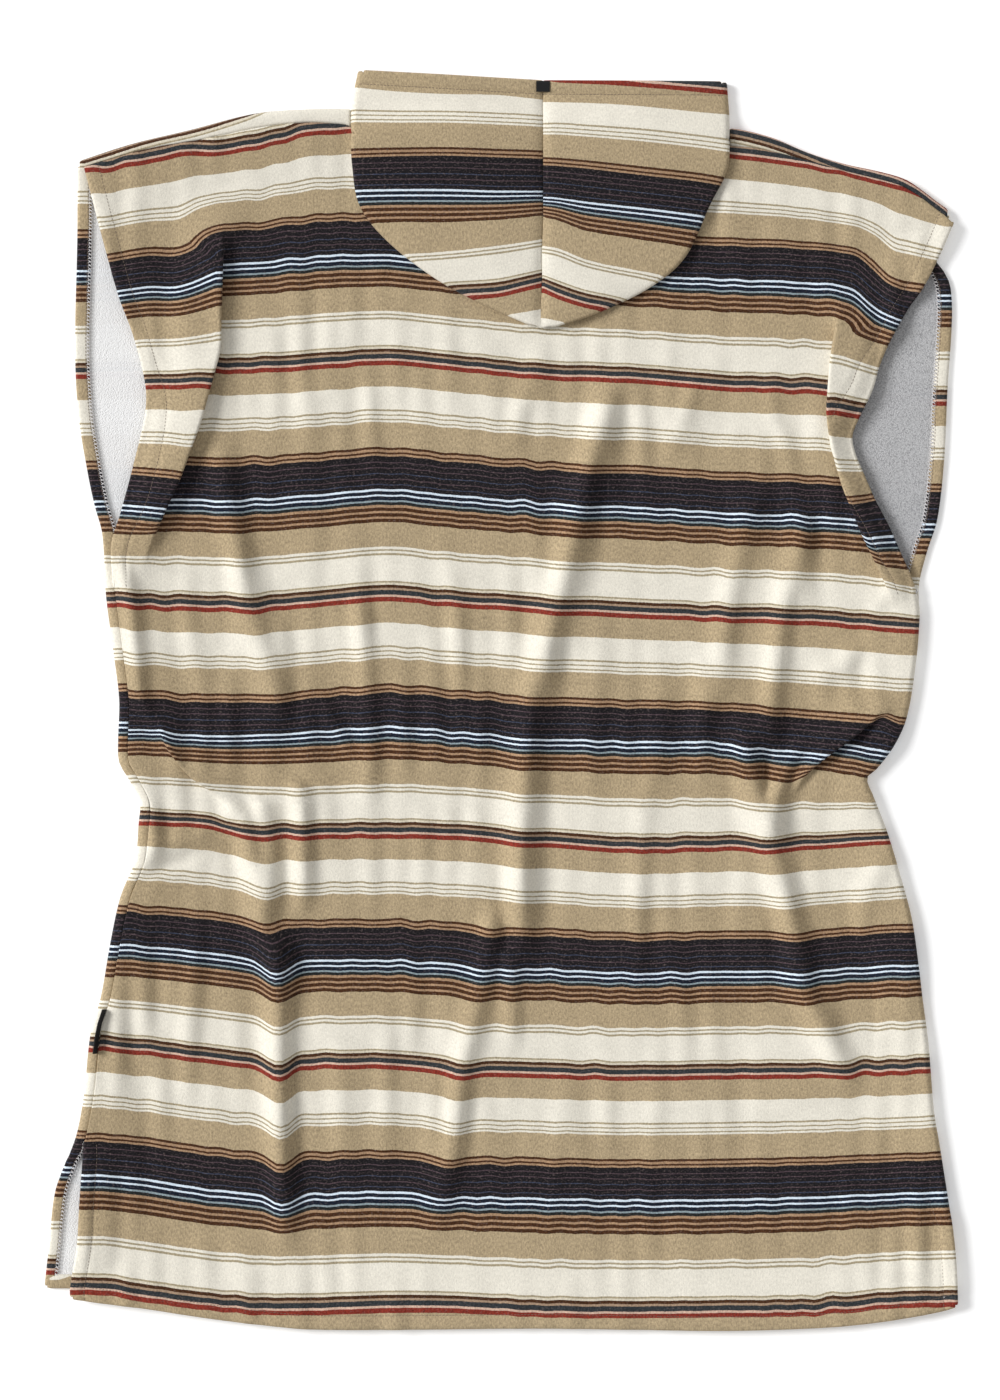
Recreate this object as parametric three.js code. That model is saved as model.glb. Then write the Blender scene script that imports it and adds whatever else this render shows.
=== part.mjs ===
// Hooded changing poncho of striped velour towelling, laid flat on its front: the back is on top and the hood
// is turned down over it. Millimetres, +X to the right seen from above, +Y towards the hood, +Z up.
// Each piece is a sheet of cloth: a grid of points in the middle of the cloth, which is given its thickness
// along its normals.
import * as THREE from 'three'

// Driving sizes
const CLOTH = 2.4 // thickness of the towelling
const HALF = CLOTH / 2
const HEMMED = CLOTH * 1.5 // from the middle of the cloth to the inner side of a turned hem
const HEM = 10 // width of the turned hems
const HEM_EDGE = 1.5 // width of the step at a hem's inner edge
const SEAM_GAP = 0.3 // clearance between pieces at their seams
const CURVED_GAP = 1.6 // clearance along curved seams, whose two edges have their corners in different places
const SIDE_GAP = 2.2 // the same along the left side seam, with its sharp turn at the waist
const HOOD_GAP = 1.1 // clearance of the hood from the back panel
const ROLL = 4 // radius of the side and shoulder folds, to the middle of the cloth
const FRONT_LEVEL = HALF // height of the front panel
const REST_LEVEL = CLOTH + HALF + 0.5 // of the back panel where it lies on the front
const EDGE_LEVEL = FRONT_LEVEL + 2 * ROLL // of the back panel at its seams and hems
const EDGE_REACH = 64 // how far in from an edge the back panel comes down to its rest
const FRONT_SHORTER = 8 // how much shorter the front hangs than the back
const HOOD_STEP = 4.8 // from the hood's under layer to its upper layer
const HOOD_OVER_FLOOR = 8.6 // height of the hood's upper layer beyond the neck
const NECK_START = 2 // how far beyond the shoulder seam the hood starts to come down from the back panel
const NECK_SLOPE = 34 // where it is down
const LABEL = 0.8 // thickness of the labels
const LABEL_WIDTH = 12
const LABEL_HEIGHT = 8
const BODY_LENGTH = 1050 // of the panels, along which their rows are shared out

// The edges, each a list of [x, y] from the top down or from left to right
const frontLeftEdge = [
  [-372, 473], [-372, 409], [-374, 308], [-371, 251], [-364, 206], [-357, 172], [-350, 146], [-347, 95],
  [-341, 48], [-335, 0], [-336, -37], [-335, -55], [-327, -69], [-317, -88], [-318, -110], [-321, -141],
  [-334, -174], [-343, -215], [-351, -261], [-360, -292], [-366, -347], [-373, -384], [-385, -414],
  [-392, -435], [-397, -480], [-401, -517],
]
const frontRightEdge = [
  [394, 426], [386, 402], [379, 387], [385, 381], [391, 373], [395, 361], [396, 334], [392, 271], [389, 209],
  [383, 158], [374, 130], [367, 101], [367, 65], [364, 31], [356, -16], [345, -40], [330, -60], [321, -68],
  [327, -86], [338, -114], [349, -150], [360, -191], [366, -230], [370, -263], [375, -301], [380, -362],
  [385, -392], [392, -436], [397, -469], [400, -502], [401, -533],
]
const backLeftEdge = [
  [-366, 469], [-349, 404], [-335, 354], [-323, 322], [-312, 278], [-312, 252], [-323, 204], [-334, 163],
  [-342, 135], [-339, 95], [-333, 48], [-327, 0], [-328, -37], [-327, -55], [-319, -69], [-309, -90],
  [-309, -112], [-313, -141], [-326, -174], [-335, -215], [-343, -261], [-352, -292], [-358, -347],
  [-365, -385], [-367, -405], [-370, -445], [-372, -479], [-378, -517], [-378, -526],
]
const backRightEdge = [
  [398, 420], [387, 395], [371, 363], [358, 345], [342, 317], [332, 294], [326, 273], [313, 246],
  [308, 232], [311, 216], [318, 199], [328, 176], [341, 151], [351, 128], [361, 105], [367, 82], [367, 65],
  [364, 31],
  [356, -16], [345, -40], [330, -60], [321, -68], [327, -86], [338, -114], [349, -150], [360, -191],
  [366, -230], [370, -263], [375, -301], [380, -362], [385, -392], [392, -436], [397, -469], [400, -502],
  [401, -533],
]
const shoulderFold = [
  [-372, 473], [-326, 488], [-272, 501], [-222, 514], [-188, 518], [-133, 519], [202, 502], [238, 494],
  [269, 481], [301, 471], [333, 464], [356, 457], [371, 447], [384, 437], [400, 426],
]
const shoulderSeam = [
  [-366, 469], [-350, 474], [-310, 485], [-265, 493], [-210, 504], [-185, 507], [-165, 508], [-148, 505],
  [-136, 498], [-120, 496], [-45, 499], [35, 500], [115, 498], [190, 488], [204, 487], [218, 487], [232, 485],
  [270, 474], [312, 462], [350, 451], [370, 441], [385, 430], [398, 419],
]
const backHem = [
  [-378, -526], [-350, -530], [-310, -535], [-265, -542], [-210, -549], [-160, -553], [35, -552],
  [115, -553], [195, -554], [270, -552], [312, -549], [350, -544], [388, -537], [401, -533],
]
const frontCorner = { x: -401, y: -517 } // of the front panel, past the left vent
// Where the side seams run, by height
const LEFT_SEAM = { top: 98, bottom: -388 }
const RIGHT_SEAM = { top: 90, bottom: -444 }

// The back panel's folds, a row for each: the path of the crest, half its width, how high it stands and how
// far it leans, to the left of a walk along the path if the number is negative
const folds = [
  { name: 'left armhole pleat', half: 30, rise: 12, lean: -8,
    path: [[-260, 440], [-254, 379], [-255, 310], [-273, 244], [-313, 140]] },
  { name: 'below the left pleat', half: 28, rise: 8, lean: 0,
    path: [[-252, 238], [-237, 150], [-218, 73], [-186, -36]] },
  { name: 'left of the middle', half: 26, rise: 6, lean: 0,
    path: [[-128, 100], [-118, 6], [-120, -112]] },
  { name: 'long middle fold', half: 30, rise: 10, lean: 0,
    path: [[118, 300], [65, 150], [28, 6], [18, -121], [12, -270]] },
  { name: 'middle fold to the hem', half: 28, rise: 8, lean: 0,
    path: [[-4, -180], [-34, -326], [-62, -490]] },
  { name: 'right chest', half: 28, rise: 6, lean: 0,
    path: [[228, 190], [199, 79], [180, -30]] },
  { name: 'right armhole pleat', half: 28, rise: 11, lean: 6,
    path: [[314, 379], [303, 334], [297, 303], [293, 255], [306, 184], [345, 97]] },
  { name: 'right waist crease', half: 26, rise: 10, lean: 0,
    path: [[358, -4], [287, -40], [243, -100]] },
  { name: 'lower right', half: 28, rise: 8, lean: 0,
    path: [[205, -20], [235, -126], [266, -256], [312, -356]] },
  { name: 'left waist ridge', half: 28, rise: 9, lean: 0,
    path: [[-300, -50], [-230, -105], [-209, -212], [-190, -262]] },
  { name: 'lower left', half: 30, rise: 9, lean: 0,
    path: [[-194, -190], [-192, -319], [-184, -500]] },
]
const FOLD_END = 0.22 // share of a fold's length over which it dies away

// The hood's rows, from the face edge to the tip. left and right are the folds at its sides, middle is the
// seam. front ends a row's under layer at the middle of the front neck, back ends one on the seam, above the
// back panel.
const hoodRows = [
  { left: [-126, 552], right: [199, 542], middle: [37, 543], front: [37, 468] },
  { left: [-128, 541], right: [200, 531], middle: [37, 533], front: [37, 461] },
  { left: [-129, 539], right: [200, 529], middle: [37, 531], front: [37, 459] },
  { left: [-132, 520], right: [201, 514], middle: [37, 508], front: [37, 446] },
  { left: [-132, 498], right: [201, 493], middle: [37, 484], front: [37, 433], back: [37, 497] },
  { left: [-131, 470], right: [199, 466], middle: [37, 454], back: [37, 466] },
  { left: [-124, 434], right: [184, 436], middle: [37, 425], back: [37, 436] },
  { left: [-98, 402], right: [163, 391], middle: [36, 396], back: [36, 404] },
  { left: [-56, 370], right: [132, 364], middle: [36, 370], back: [36, 376] },
  { left: [-15, 348], right: [85, 341], middle: [35, 348], back: [35, 352] },
  { left: [24, 331], right: [48, 330], middle: [35, 328], back: [35, 330] },
]
const FACE_HEM_ROWS = 2 // rows of the hood in its turned face edge
const NECK_ROW = 4 // the row that ends at both sides of the neck opening
const NECK = { left: -134, right: 203 } // the sides of the neck, between hood and shoulders

// A smooth curve through pairs of numbers, read at a value of the first one
function curveAt(pairs, value) {
  const last = pairs.length - 1
  if (value <= pairs[0][0]) return pairs[0][1]
  if (value >= pairs[last][0]) return pairs[last][1]
  let i = 0
  while (pairs[i + 1][0] < value) i++
  const slope = (k) => {
    const before = pairs[Math.max(k - 1, 0)]
    const after = pairs[Math.min(k + 1, last)]
    return (after[1] - before[1]) / (after[0] - before[0])
  }
  const width = pairs[i + 1][0] - pairs[i][0]
  const t = (value - pairs[i][0]) / width
  const straight = mix(pairs[i][1], pairs[i + 1][1], t * t * (3 - 2 * t))
  return straight + t * (1 - t) * (slope(i) * (1 - t) - slope(i + 1) * t) * width
}

function mix(a, b, t) {
  return a + (b - a) * t
}

function smooth(low, high, value) {
  const t = Math.min(Math.max((value - low) / (high - low), 0), 1)
  return t * t * (3 - 2 * t)
}

// Even steps from 0 to 1
function steps(count) {
  return Array.from({ length: count + 1 }, (_, k) => k / count)
}

const byHeight = (outline) => outline.map(([x, y]) => [y, x]).reverse()
const frontLeft = byHeight(frontLeftEdge)
const frontRight = byHeight(frontRightEdge)
const backLeft = byHeight(backLeftEdge)
const backRight = byHeight(backRightEdge)
const seamY = (x) => curveAt(shoulderSeam, x)
const hemY = (x) => curveAt(backHem, x)

// Where a row of a panel, whose height changes along it, meets an edge
function meetingX(edge, rowY) {
  const TRIES = 12
  const STRIDE = 0.7 // share of the way to the next guess that each try goes, so that it settles
  const halfWay = edge[Math.floor(edge.length / 2)]
  let x = halfWay[1]
  for (let k = 0; k < TRIES; k++) x = mix(x, curveAt(edge, rowY(x)), STRIDE)
  return x
}

// A sheet of cloth: points in its middle, the cloth's thickness above and below each, and four-cornered cells
function newSheet() {
  return { points: [], above: [], below: [], cells: [] }
}

function addPoint(sheet, x, y, z, above = HALF, below = HALF) {
  sheet.points.push(new THREE.Vector3(x, y, z))
  sheet.above.push(above)
  sheet.below.push(below)
  return sheet.points.length - 1
}

// Cells between rows of points. Rows run down and columns to the right, so that the cells face up.
function addCells(sheet, rows) {
  for (let r = 0; r + 1 < rows.length; r++) {
    for (let c = 0; c + 1 < rows[r].length; c++) {
      sheet.cells.push([rows[r][c], rows[r + 1][c], rows[r + 1][c + 1], rows[r][c + 1]])
    }
  }
}

function normalsOf(sheet) {
  const normals = sheet.points.map(() => new THREE.Vector3())
  for (const cell of sheet.cells) {
    const [a, b, c, d] = cell.map((k) => sheet.points[k])
    const across = new THREE.Vector3().subVectors(c, a)
    const facing = across.cross(new THREE.Vector3().subVectors(d, b)).normalize()
    for (const k of cell) normals[k].add(facing)
  }
  return normals.map((normal) => normal.normalize())
}

// The closed wall of a sheet: its upper side, its lower side and a rim along every free edge
function wallOf(sheet) {
  const normals = normalsOf(sheet)
  const count = sheet.points.length
  const upper = sheet.points.map((p, k) => p.clone().addScaledVector(normals[k], sheet.above[k]))
  const lower = sheet.points.map((p, k) => p.clone().addScaledVector(normals[k], -sheet.below[k]))
  const index = []
  const rim = new Map()
  for (const [a, b, c, d] of sheet.cells) {
    index.push(a, b, c, a, c, d)
    index.push(count + a, count + c, count + b, count + a, count + d, count + c)
    for (const [from, to] of [[a, b], [b, c], [c, d], [d, a]]) {
      if (!rim.delete(`${to} ${from}`)) rim.set(`${from} ${to}`, [from, to])
    }
  }
  for (const [from, to] of rim.values()) {
    index.push(from, count + from, count + to, from, count + to, to)
  }
  const geometry = new THREE.BufferGeometry().setFromPoints([...upper, ...lower])
  geometry.setIndex(index)
  return geometry
}

// The nearest place on a path of straight runs: its distance, its share of the path and the walk's right hand
function nearestOn(path, x, y) {
  let nearest = { distance: Infinity }
  for (let k = 0; k + 1 < path.length; k++) {
    const [ax, ay] = path[k]
    const [bx, by] = path[k + 1]
    const length = Math.hypot(bx - ax, by - ay)
    const [ux, uy] = [(bx - ax) / length, (by - ay) / length]
    const run = Math.min(Math.max((x - ax) * ux + (y - ay) * uy, 0), length)
    const distance = Math.hypot(x - ax - run * ux, y - ay - run * uy)
    if (distance < nearest.distance) {
      nearest = { distance, share: (k + run / length) / (path.length - 1), right: [uy, -ux] }
    }
  }
  return nearest
}

// How far the folds lift a point of the back panel and push it sideways
function foldsAt(x, y) {
  const move = new THREE.Vector3()
  for (const fold of folds) {
    const { distance, share, right } = nearestOn(fold.path, x, y)
    if (distance >= fold.half) continue
    const dying = smooth(0, FOLD_END, share) * smooth(0, FOLD_END, 1 - share)
    const swell = Math.cos((distance / fold.half) * (Math.PI / 2)) ** 2 * dying
    const sideways = fold.lean * swell
    move.add(new THREE.Vector3(sideways * right[0], sideways * right[1], fold.rise * swell))
  }
  return move
}

// The back panel's height without its folds: high at its seams and hems, down on the front between them
function backLevel(x, y) {
  const inside = Math.min(x - curveAt(backLeft, y), curveAt(backRight, y) - x, seamY(x) - y, y - hemY(x))
  return mix(EDGE_LEVEL, REST_LEVEL, smooth(0, EDGE_REACH, inside))
}

// Cloth rolled a part of a turn from the points of an edge, out and then up or down. over says how far it then
// lies back over the panel. It gives the new rows, from the edge on.
function addRoll(sheet, edge, { out, up, turn, over }) {
  const ARC_STEPS = 5
  const start = edge.map((k) => sheet.points[k].clone())
  const ring = (side, rise) => start.map((p) => {
    const way = side(p)
    return addPoint(sheet, p.x + out[0] * way, p.y + out[1] * way, p.z + up * rise)
  })
  const rings = [edge]
  for (const share of steps(ARC_STEPS).slice(1)) {
    const angle = turn * share
    rings.push(ring(() => ROLL * Math.sin(angle), ROLL * (1 - Math.cos(angle))))
  }
  if (over) rings.push(ring((p) => -over(p), 2 * ROLL))
  return rings
}

function turned(rings) {
  return rings[0].map((_, c) => rings.map((ring) => ring[c]))
}

const isSeamed = (seam, y) => y < seam.top && y > seam.bottom
const SEAM_TURN = Math.PI / 2 - CURVED_GAP / (2 * ROLL) // of a roll that meets its neighbour half way up

// Both panels: rows between two lines, with close columns and rows for the hems. A seamed edge is set in for
// its roll, and hems are as thick as two layers.
function panelGrid(sheet, panel) {
  const grid = []
  for (const share of panel.shares) {
    const rowY = (x) => mix(panel.topY(x), panel.bottomY(x), share)
    const left = meetingX(panel.left, rowY)
    const right = meetingX(panel.right, rowY)
    const seamed = { left: isSeamed(LEFT_SEAM, rowY(left)), right: isSeamed(RIGHT_SEAM, rowY(right)) }
    const from = left + (seamed.left ? panel.rollLeft : 0)
    const to = right - (seamed.right ? ROLL : 0)
    const near = [from, from + HEM, from + HEM + HEM_EDGE]
    const far = [to - HEM - HEM_EDGE, to - HEM, to]
    const xs = [...near, ...panel.between(near[2], far[0]), ...far]
    const ids = xs.map((x, c) => {
      const hemmed = share > panel.hemShare || (c < 2 && !seamed.left) || (c > xs.length - 3 && !seamed.right)
      return panel.place(sheet, x, rowY(x), hemmed)
    })
    grid.push({ ids, seamed })
  }
  addCells(sheet, grid.map((row) => row.ids))
  return grid
}

const ROWS = 36
const LAST_ABOVE_HEM = 0.98 // share of the length where the last row above the hem's own rows runs
const hemShares = [1 - (HEM + HEM_EDGE) / BODY_LENGTH, 1 - HEM / BODY_LENGTH, 1]
const rowShares = [...steps(ROWS).map((share) => share * LAST_ABOVE_HEM), ...hemShares]

// The round front neckline below the hood
function neckY(x) {
  const row = hoodRows[NECK_ROW]
  const [sideX, sideY] = x < row.middle[0] ? row.left : row.right
  const [middleX, middleY] = row.front
  const across = Math.min(Math.max((x - sideX) / (middleX - sideX), 0), 1)
  return mix(sideY, middleY, Math.sin(across * (Math.PI / 2)))
}

function frontTopY(x) {
  const inNeck = x > NECK.left && x < NECK.right
  return inNeck ? neckY(x) - CURVED_GAP : curveAt(shoulderFold, x) - ROLL
}

function frontHemY(x) {
  const corner = backHem[0][0]
  return x < corner ? frontCorner.y : hemY(x) + FRONT_SHORTER
}

// The front panel lies flat on its outer side. Its cloth rolls up over the shoulders and both side seams.
function frontPanel() {
  const sheet = newSheet()
  const NECK_STEP = 1.2 // between the last shoulder column and the neck
  const THIRDS = [1 / 3, 2 / 3]
  const inner = [
    -285, -240, -200, -172, -150, NECK.left - NECK_STEP, NECK.left + 0.5, -108, -72, -36, 0, 37, 78, 119, 160,
    NECK.right - 0.5, NECK.right + NECK_STEP, 235, 265, 295,
  ]
  const grid = panelGrid(sheet, {
    shares: rowShares,
    topY: frontTopY,
    bottomY: frontHemY,
    left: frontLeft,
    right: frontRight,
    rollLeft: ROLL,
    hemShare: hemShares[0],
    between: (from, to) => [
      ...THIRDS.map((share) => mix(from, inner[0], share)), ...inner,
      ...THIRDS.map((share) => mix(inner[inner.length - 1], to, share)),
    ],
    place: (to, x, y, hemmed) => addPoint(to, x, y, FRONT_LEVEL, hemmed ? HEMMED : HALF),
  })
  const first = grid[0].ids
  const neckStart = first.findIndex((k) => sheet.points[k].x > NECK.left)
  const neckEnd = first.findIndex((k) => sheet.points[k].x > NECK.right)
  for (const shoulder of [first.slice(0, neckStart), first.slice(neckEnd)]) {
    const over = (p) => p.y - seamY(p.x) - CURVED_GAP
    addCells(sheet, addRoll(sheet, shoulder, { out: [0, 1], up: 1, turn: Math.PI, over }).reverse())
  }
  const leftSide = grid.filter((row) => row.seamed.left).map((row) => row.ids[0])
  const overLeft = (p) => curveAt(backLeft, p.y) - SIDE_GAP - p.x
  const leftRoll = addRoll(sheet, leftSide, { out: [-1, 0], up: 1, turn: Math.PI, over: overLeft })
  addCells(sheet, turned(leftRoll.reverse()))
  const rightSide = grid.filter((row) => row.seamed.right).map((row) => row.ids[row.ids.length - 1])
  addCells(sheet, turned(addRoll(sheet, rightSide, { out: [1, 0], up: 1, turn: SEAM_TURN })))
  return sheet
}

// The back panel lies on the front, with its folds. Its right side rolls down to the side seam.
function backPanel() {
  const sheet = newSheet()
  const ACROSS = 34
  const grid = panelGrid(sheet, {
    shares: rowShares,
    topY: seamY,
    bottomY: hemY,
    left: backLeft,
    right: backRight,
    rollLeft: 0,
    hemShare: hemShares[0],
    between: (from, to) => steps(ACROSS).slice(1, -1).map((share) => mix(from, to, share)),
    place: (to, x, y, hemmed) => {
      const move = foldsAt(x, y)
      return addPoint(to, x + move.x, y + move.y, backLevel(x, y) + move.z, HALF, hemmed ? HEMMED : HALF)
    },
  })
  const rightSide = grid.filter((row) => row.seamed.right).map((row) => row.ids[row.ids.length - 1])
  addCells(sheet, turned(addRoll(sheet, rightSide, { out: [1, 0], up: -1, turn: SEAM_TURN })))
  return sheet
}

// Heights of the hood's two layers above the back panel, and of the upper one beyond the neck
const underLevel = (x, y) => backLevel(x, y) + CLOTH + HOOD_GAP
function upperLevel(x, y) {
  const beyond = smooth(NECK_START, NECK_SLOPE, y - seamY(x))
  return mix(underLevel(x, y) + HOOD_STEP, HOOD_OVER_FLOOR, beyond)
}

// Half of the hood. Each row runs from the seam out over the upper layer, round the fold at the side and back
// below it, to the front neck on the floor or to the seam above the back panel.
function hoodHalf(side) {
  const sheet = newSheet()
  const sign = side === 'left' ? -1 : 1
  const UPPER_STEPS = 9
  const FOLD_STEPS = 4
  const FRONT_FOLD = 4 // half widths of the side folds where the under layer is on the floor, and on the panel
  const BACK_FOLD = 2.4

  const inset = (row, half) => row[side][0] - sign * (HALF + half)
  const seamX = (row) => row.middle[0] + (sign * SEAM_GAP) / 2

  function upperPart(row, r, half) {
    return steps(UPPER_STEPS).map((share) => {
      const x = mix(seamX(row), inset(row, half), share)
      const y = mix(row.middle[1], row[side][1], share)
      const hemmed = r < FACE_HEM_ROWS && share < 1
      return addPoint(sheet, x, y, upperLevel(x, y), HALF, hemmed ? HEMMED : HALF)
    })
  }

  // The fold and the under layer, to the end of the row at end. shift parts the two at the neck row.
  function underPart(row, end, half, shift, levelAt, bulge) {
    const [x0, y0] = [inset(row, half), row[side][1] + shift]
    const top = upperLevel(x0, y0)
    const bottom = levelAt(x0, y0)
    const fold = steps(FOLD_STEPS).slice(1).map((share) => {
      const angle = Math.PI * share
      const x = x0 + sign * half * Math.sin(angle)
      return addPoint(sheet, x, y0, mix(bottom, top, (1 + Math.cos(angle)) / 2))
    })
    const under = steps(UPPER_STEPS).slice(1).map((share) => {
      const x = mix(x0, end[0] + (sign * SEAM_GAP) / 2, share)
      const y = mix(y0, end[1] + shift, bulge(share))
      return addPoint(sheet, x, y, levelAt(x, y))
    })
    return [...fold, ...under]
  }

  const facing = (row) => (side === 'left' ? [...row].reverse() : row)
  const frontRows = []
  const backRows = []
  hoodRows.forEach((row, r) => {
    const half = r <= NECK_ROW ? FRONT_FOLD : BACK_FOLD
    const shift = r === NECK_ROW ? HALF + SEAM_GAP : 0
    const upper = upperPart(row, r, half)
    if (row.front) {
      const round = (share) => Math.sin(share * (Math.PI / 2))
      frontRows.push(facing([...upper, ...underPart(row, row.front, half, shift, () => FRONT_LEVEL, round)]))
    }
    if (row.back) {
      const straight = (share) => share
      backRows.push(facing([...upper, ...underPart(row, row.back, half, -shift, underLevel, straight)]))
    }
  })
  addCells(sheet, frontRows)
  addCells(sheet, backRows)
  return sheet
}

// A label folded over the hood's face edge at the seam: a strip bent round the turned edge
function hoodLabel() {
  const sheet = newSheet()
  const [x, y] = hoodRows[0].middle
  const clear = SEAM_GAP + LABEL / 2
  const level = upperLevel(x, y)
  const [top, bottom] = [level + HALF + clear, level - HEMMED - clear]
  const outer = y + 2 * clear
  const section = [
    [y - LABEL_HEIGHT, top], [y, top], [outer, top - LABEL], [outer, bottom + LABEL], [y, bottom],
    [y - LABEL_HEIGHT, bottom],
  ]
  const across = steps(2).map((share) => x + (share - 0.5) * LABEL_WIDTH)
  const rows = section.map(([py, pz]) => across.map((px) => addPoint(sheet, px, py, pz, LABEL / 2, LABEL / 2)))
  addCells(sheet, rows.reverse())
  return sheet
}

// A label standing in the left side seam, leaning out over it
function sideLabel() {
  const sheet = newSheet()
  const [top, bottom] = [-272, -311]
  const LEAN = 3
  const OUTSIDE = 1 // from the back panel's edge to the label
  const foot = EDGE_LEVEL + HALF + SEAM_GAP
  const rows = steps(3).map((share) => {
    const y = mix(top, bottom, share)
    const x = curveAt(backLeft, y) - OUTSIDE
    return [1, 0.5, 0].map((rise) => {
      return addPoint(sheet, x - LEAN * rise, y, foot + LABEL_HEIGHT * rise, LABEL / 2, LABEL / 2)
    })
  })
  addCells(sheet, rows)
  return sheet
}

const cloth = new THREE.MeshStandardMaterial({ color: 0xb5a384, roughness: 0.95, metalness: 0 })
const tape = new THREE.MeshStandardMaterial({ color: 0x17171a, roughness: 0.7, metalness: 0 })
const pieces = [
  { name: 'front_panel', sheet: frontPanel(), material: cloth },
  { name: 'back_panel', sheet: backPanel(), material: cloth },
  { name: 'hood_left_half', sheet: hoodHalf('left'), material: cloth },
  { name: 'hood_right_half', sheet: hoodHalf('right'), material: cloth },
  { name: 'hood_label', sheet: hoodLabel(), material: tape },
  { name: 'side_label', sheet: sideLabel(), material: tape },
]

const poncho = new THREE.Group()
for (const { name, sheet, material } of pieces) {
  const mesh = new THREE.Mesh(wallOf(sheet), material)
  mesh.name = name
  poncho.add(mesh)
}

// The origin is under the middle of the poncho
const box = new THREE.Box3().setFromObject(poncho)
const middle = box.getCenter(new THREE.Vector3())
poncho.position.set(-middle.x, -middle.y, -box.min.z)

export default poncho
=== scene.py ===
# Hooded changing poncho of striped velour towelling, laid flat on its front with its hood turned down.
# Lengths are in millimetres until a mesh is made: +X to the right, +Y towards the hood, +Z up.
import math

import bpy
import numpy as np
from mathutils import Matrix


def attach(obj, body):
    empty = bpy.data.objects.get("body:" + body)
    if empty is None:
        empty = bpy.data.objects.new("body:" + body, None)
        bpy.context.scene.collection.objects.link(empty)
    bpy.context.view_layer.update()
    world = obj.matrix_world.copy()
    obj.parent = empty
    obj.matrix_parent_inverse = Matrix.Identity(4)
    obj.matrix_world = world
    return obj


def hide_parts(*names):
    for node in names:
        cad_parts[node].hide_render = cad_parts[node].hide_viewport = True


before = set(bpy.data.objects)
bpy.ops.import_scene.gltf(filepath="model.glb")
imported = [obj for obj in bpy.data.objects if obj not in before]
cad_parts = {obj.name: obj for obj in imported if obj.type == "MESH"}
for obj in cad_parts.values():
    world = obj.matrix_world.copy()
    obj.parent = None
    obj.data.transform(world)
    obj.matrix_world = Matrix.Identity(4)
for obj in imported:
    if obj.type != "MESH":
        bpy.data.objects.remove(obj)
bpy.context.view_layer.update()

# Sizes of the cloth and its make
MM = 0.001
CLOTH = 2.4  # thickness of the towelling
HALF = CLOTH / 2
HEM = 10  # width of a turned hem
VENT_HEM = 7.5  # the same at the front's side vent
HEM_RADIUS = 1.35  # of the fold of a turned hem, to the middle of the cloth
FACING_SETTLES = 0.7  # how far the inner edge of a turned hem sinks onto the cloth
RIM = 0.5  # thickness of the cloth's pressed free edges, as a share
ROLL = 4  # radius of the side and shoulder folds
SEAM_GAP = 0.06  # between two pieces at a seam
SEAM_DIP = 0.3  # how far the cloth sinks into a seam
SEAM_REACH = 3  # over this length
FRONT_LEVEL = HALF  # height of the front panel
REST_LEVEL = CLOTH + HALF + 0.5  # of the back panel where it lies on the front
EDGE_LEVEL = FRONT_LEVEL + 2 * ROLL  # of the back panel at its seams and hems
EDGE_REACH = 64  # how far in from an edge the back panel comes down to its rest
FRONT_SHORTER = 8  # how much shorter the front hangs than the back
HOOD_STEP = 4.8  # from the hood's under layer to its upper layer
HOOD_OVER_FLOOR = 8.6  # height of the hood's upper layer beyond the neck
HOOD_GAP = 1.1  # between the hood's under layer and the back panel
NECK_SLOPE = 34  # length over which the hood comes down from the back panel
ORIGIN_Y = 0.96  # the frame's origin, below the outlines' own
STITCH = 3.0  # length of a stitch and the space after it
THREAD = 0.24  # radius of the sewing thread

# The edges, each a list of (x, y) from the top down or from left to right
FRONT_LEFT_EDGE = [
    (-372, 473), (-372, 409), (-374, 308), (-371, 251), (-364, 206), (-357, 172), (-350, 146), (-347, 95),
    (-341, 48), (-335, 0), (-336, -37), (-335, -55), (-327, -69), (-317, -88), (-318, -110), (-321, -141),
    (-334, -174), (-343, -215), (-351, -261), (-360, -292), (-366, -347), (-373, -384), (-385, -414),
    (-392, -435), (-397, -480), (-401, -517),
]
FRONT_RIGHT_EDGE = [
    (394, 426), (386, 402), (379, 387), (385, 381), (391, 373), (395, 361), (396, 334), (392, 271),
    (389, 209), (383, 158), (374, 130), (367, 101), (367, 65), (364, 31), (356, -16), (345, -40),
    (330, -60), (321, -68), (327, -86), (338, -114), (349, -150), (360, -191), (366, -230), (370, -263),
    (375, -301), (380, -362), (385, -392), (392, -436), (397, -469), (400, -502), (401, -533),
]
BACK_LEFT_EDGE = [
    (-366, 469), (-349, 404), (-335, 354), (-323, 322), (-312, 278), (-312, 252), (-323, 204), (-334, 163),
    (-342, 135), (-339, 95), (-333, 48), (-327, 0), (-328, -37), (-327, -55), (-319, -69), (-309, -90),
    (-309, -112), (-313, -141), (-326, -174), (-335, -215), (-343, -261), (-352, -292), (-358, -347),
    (-365, -385), (-367, -405), (-370, -445), (-372, -479), (-378, -517), (-378, -526),
]
BACK_RIGHT_EDGE = [
    (398, 420), (387, 395), (371, 363), (358, 345), (342, 317), (332, 294), (326, 273), (313, 246),
    (308, 232), (311, 216), (318, 199), (328, 176), (341, 151), (351, 128), (361, 105), (367, 82),
    (367, 65), (364, 31), (356, -16), (345, -40), (330, -60), (321, -68), (327, -86), (338, -114),
    (349, -150), (360, -191), (366, -230), (370, -263), (375, -301), (380, -362), (385, -392),
    (392, -436), (397, -469), (400, -502), (401, -533),
]
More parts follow.
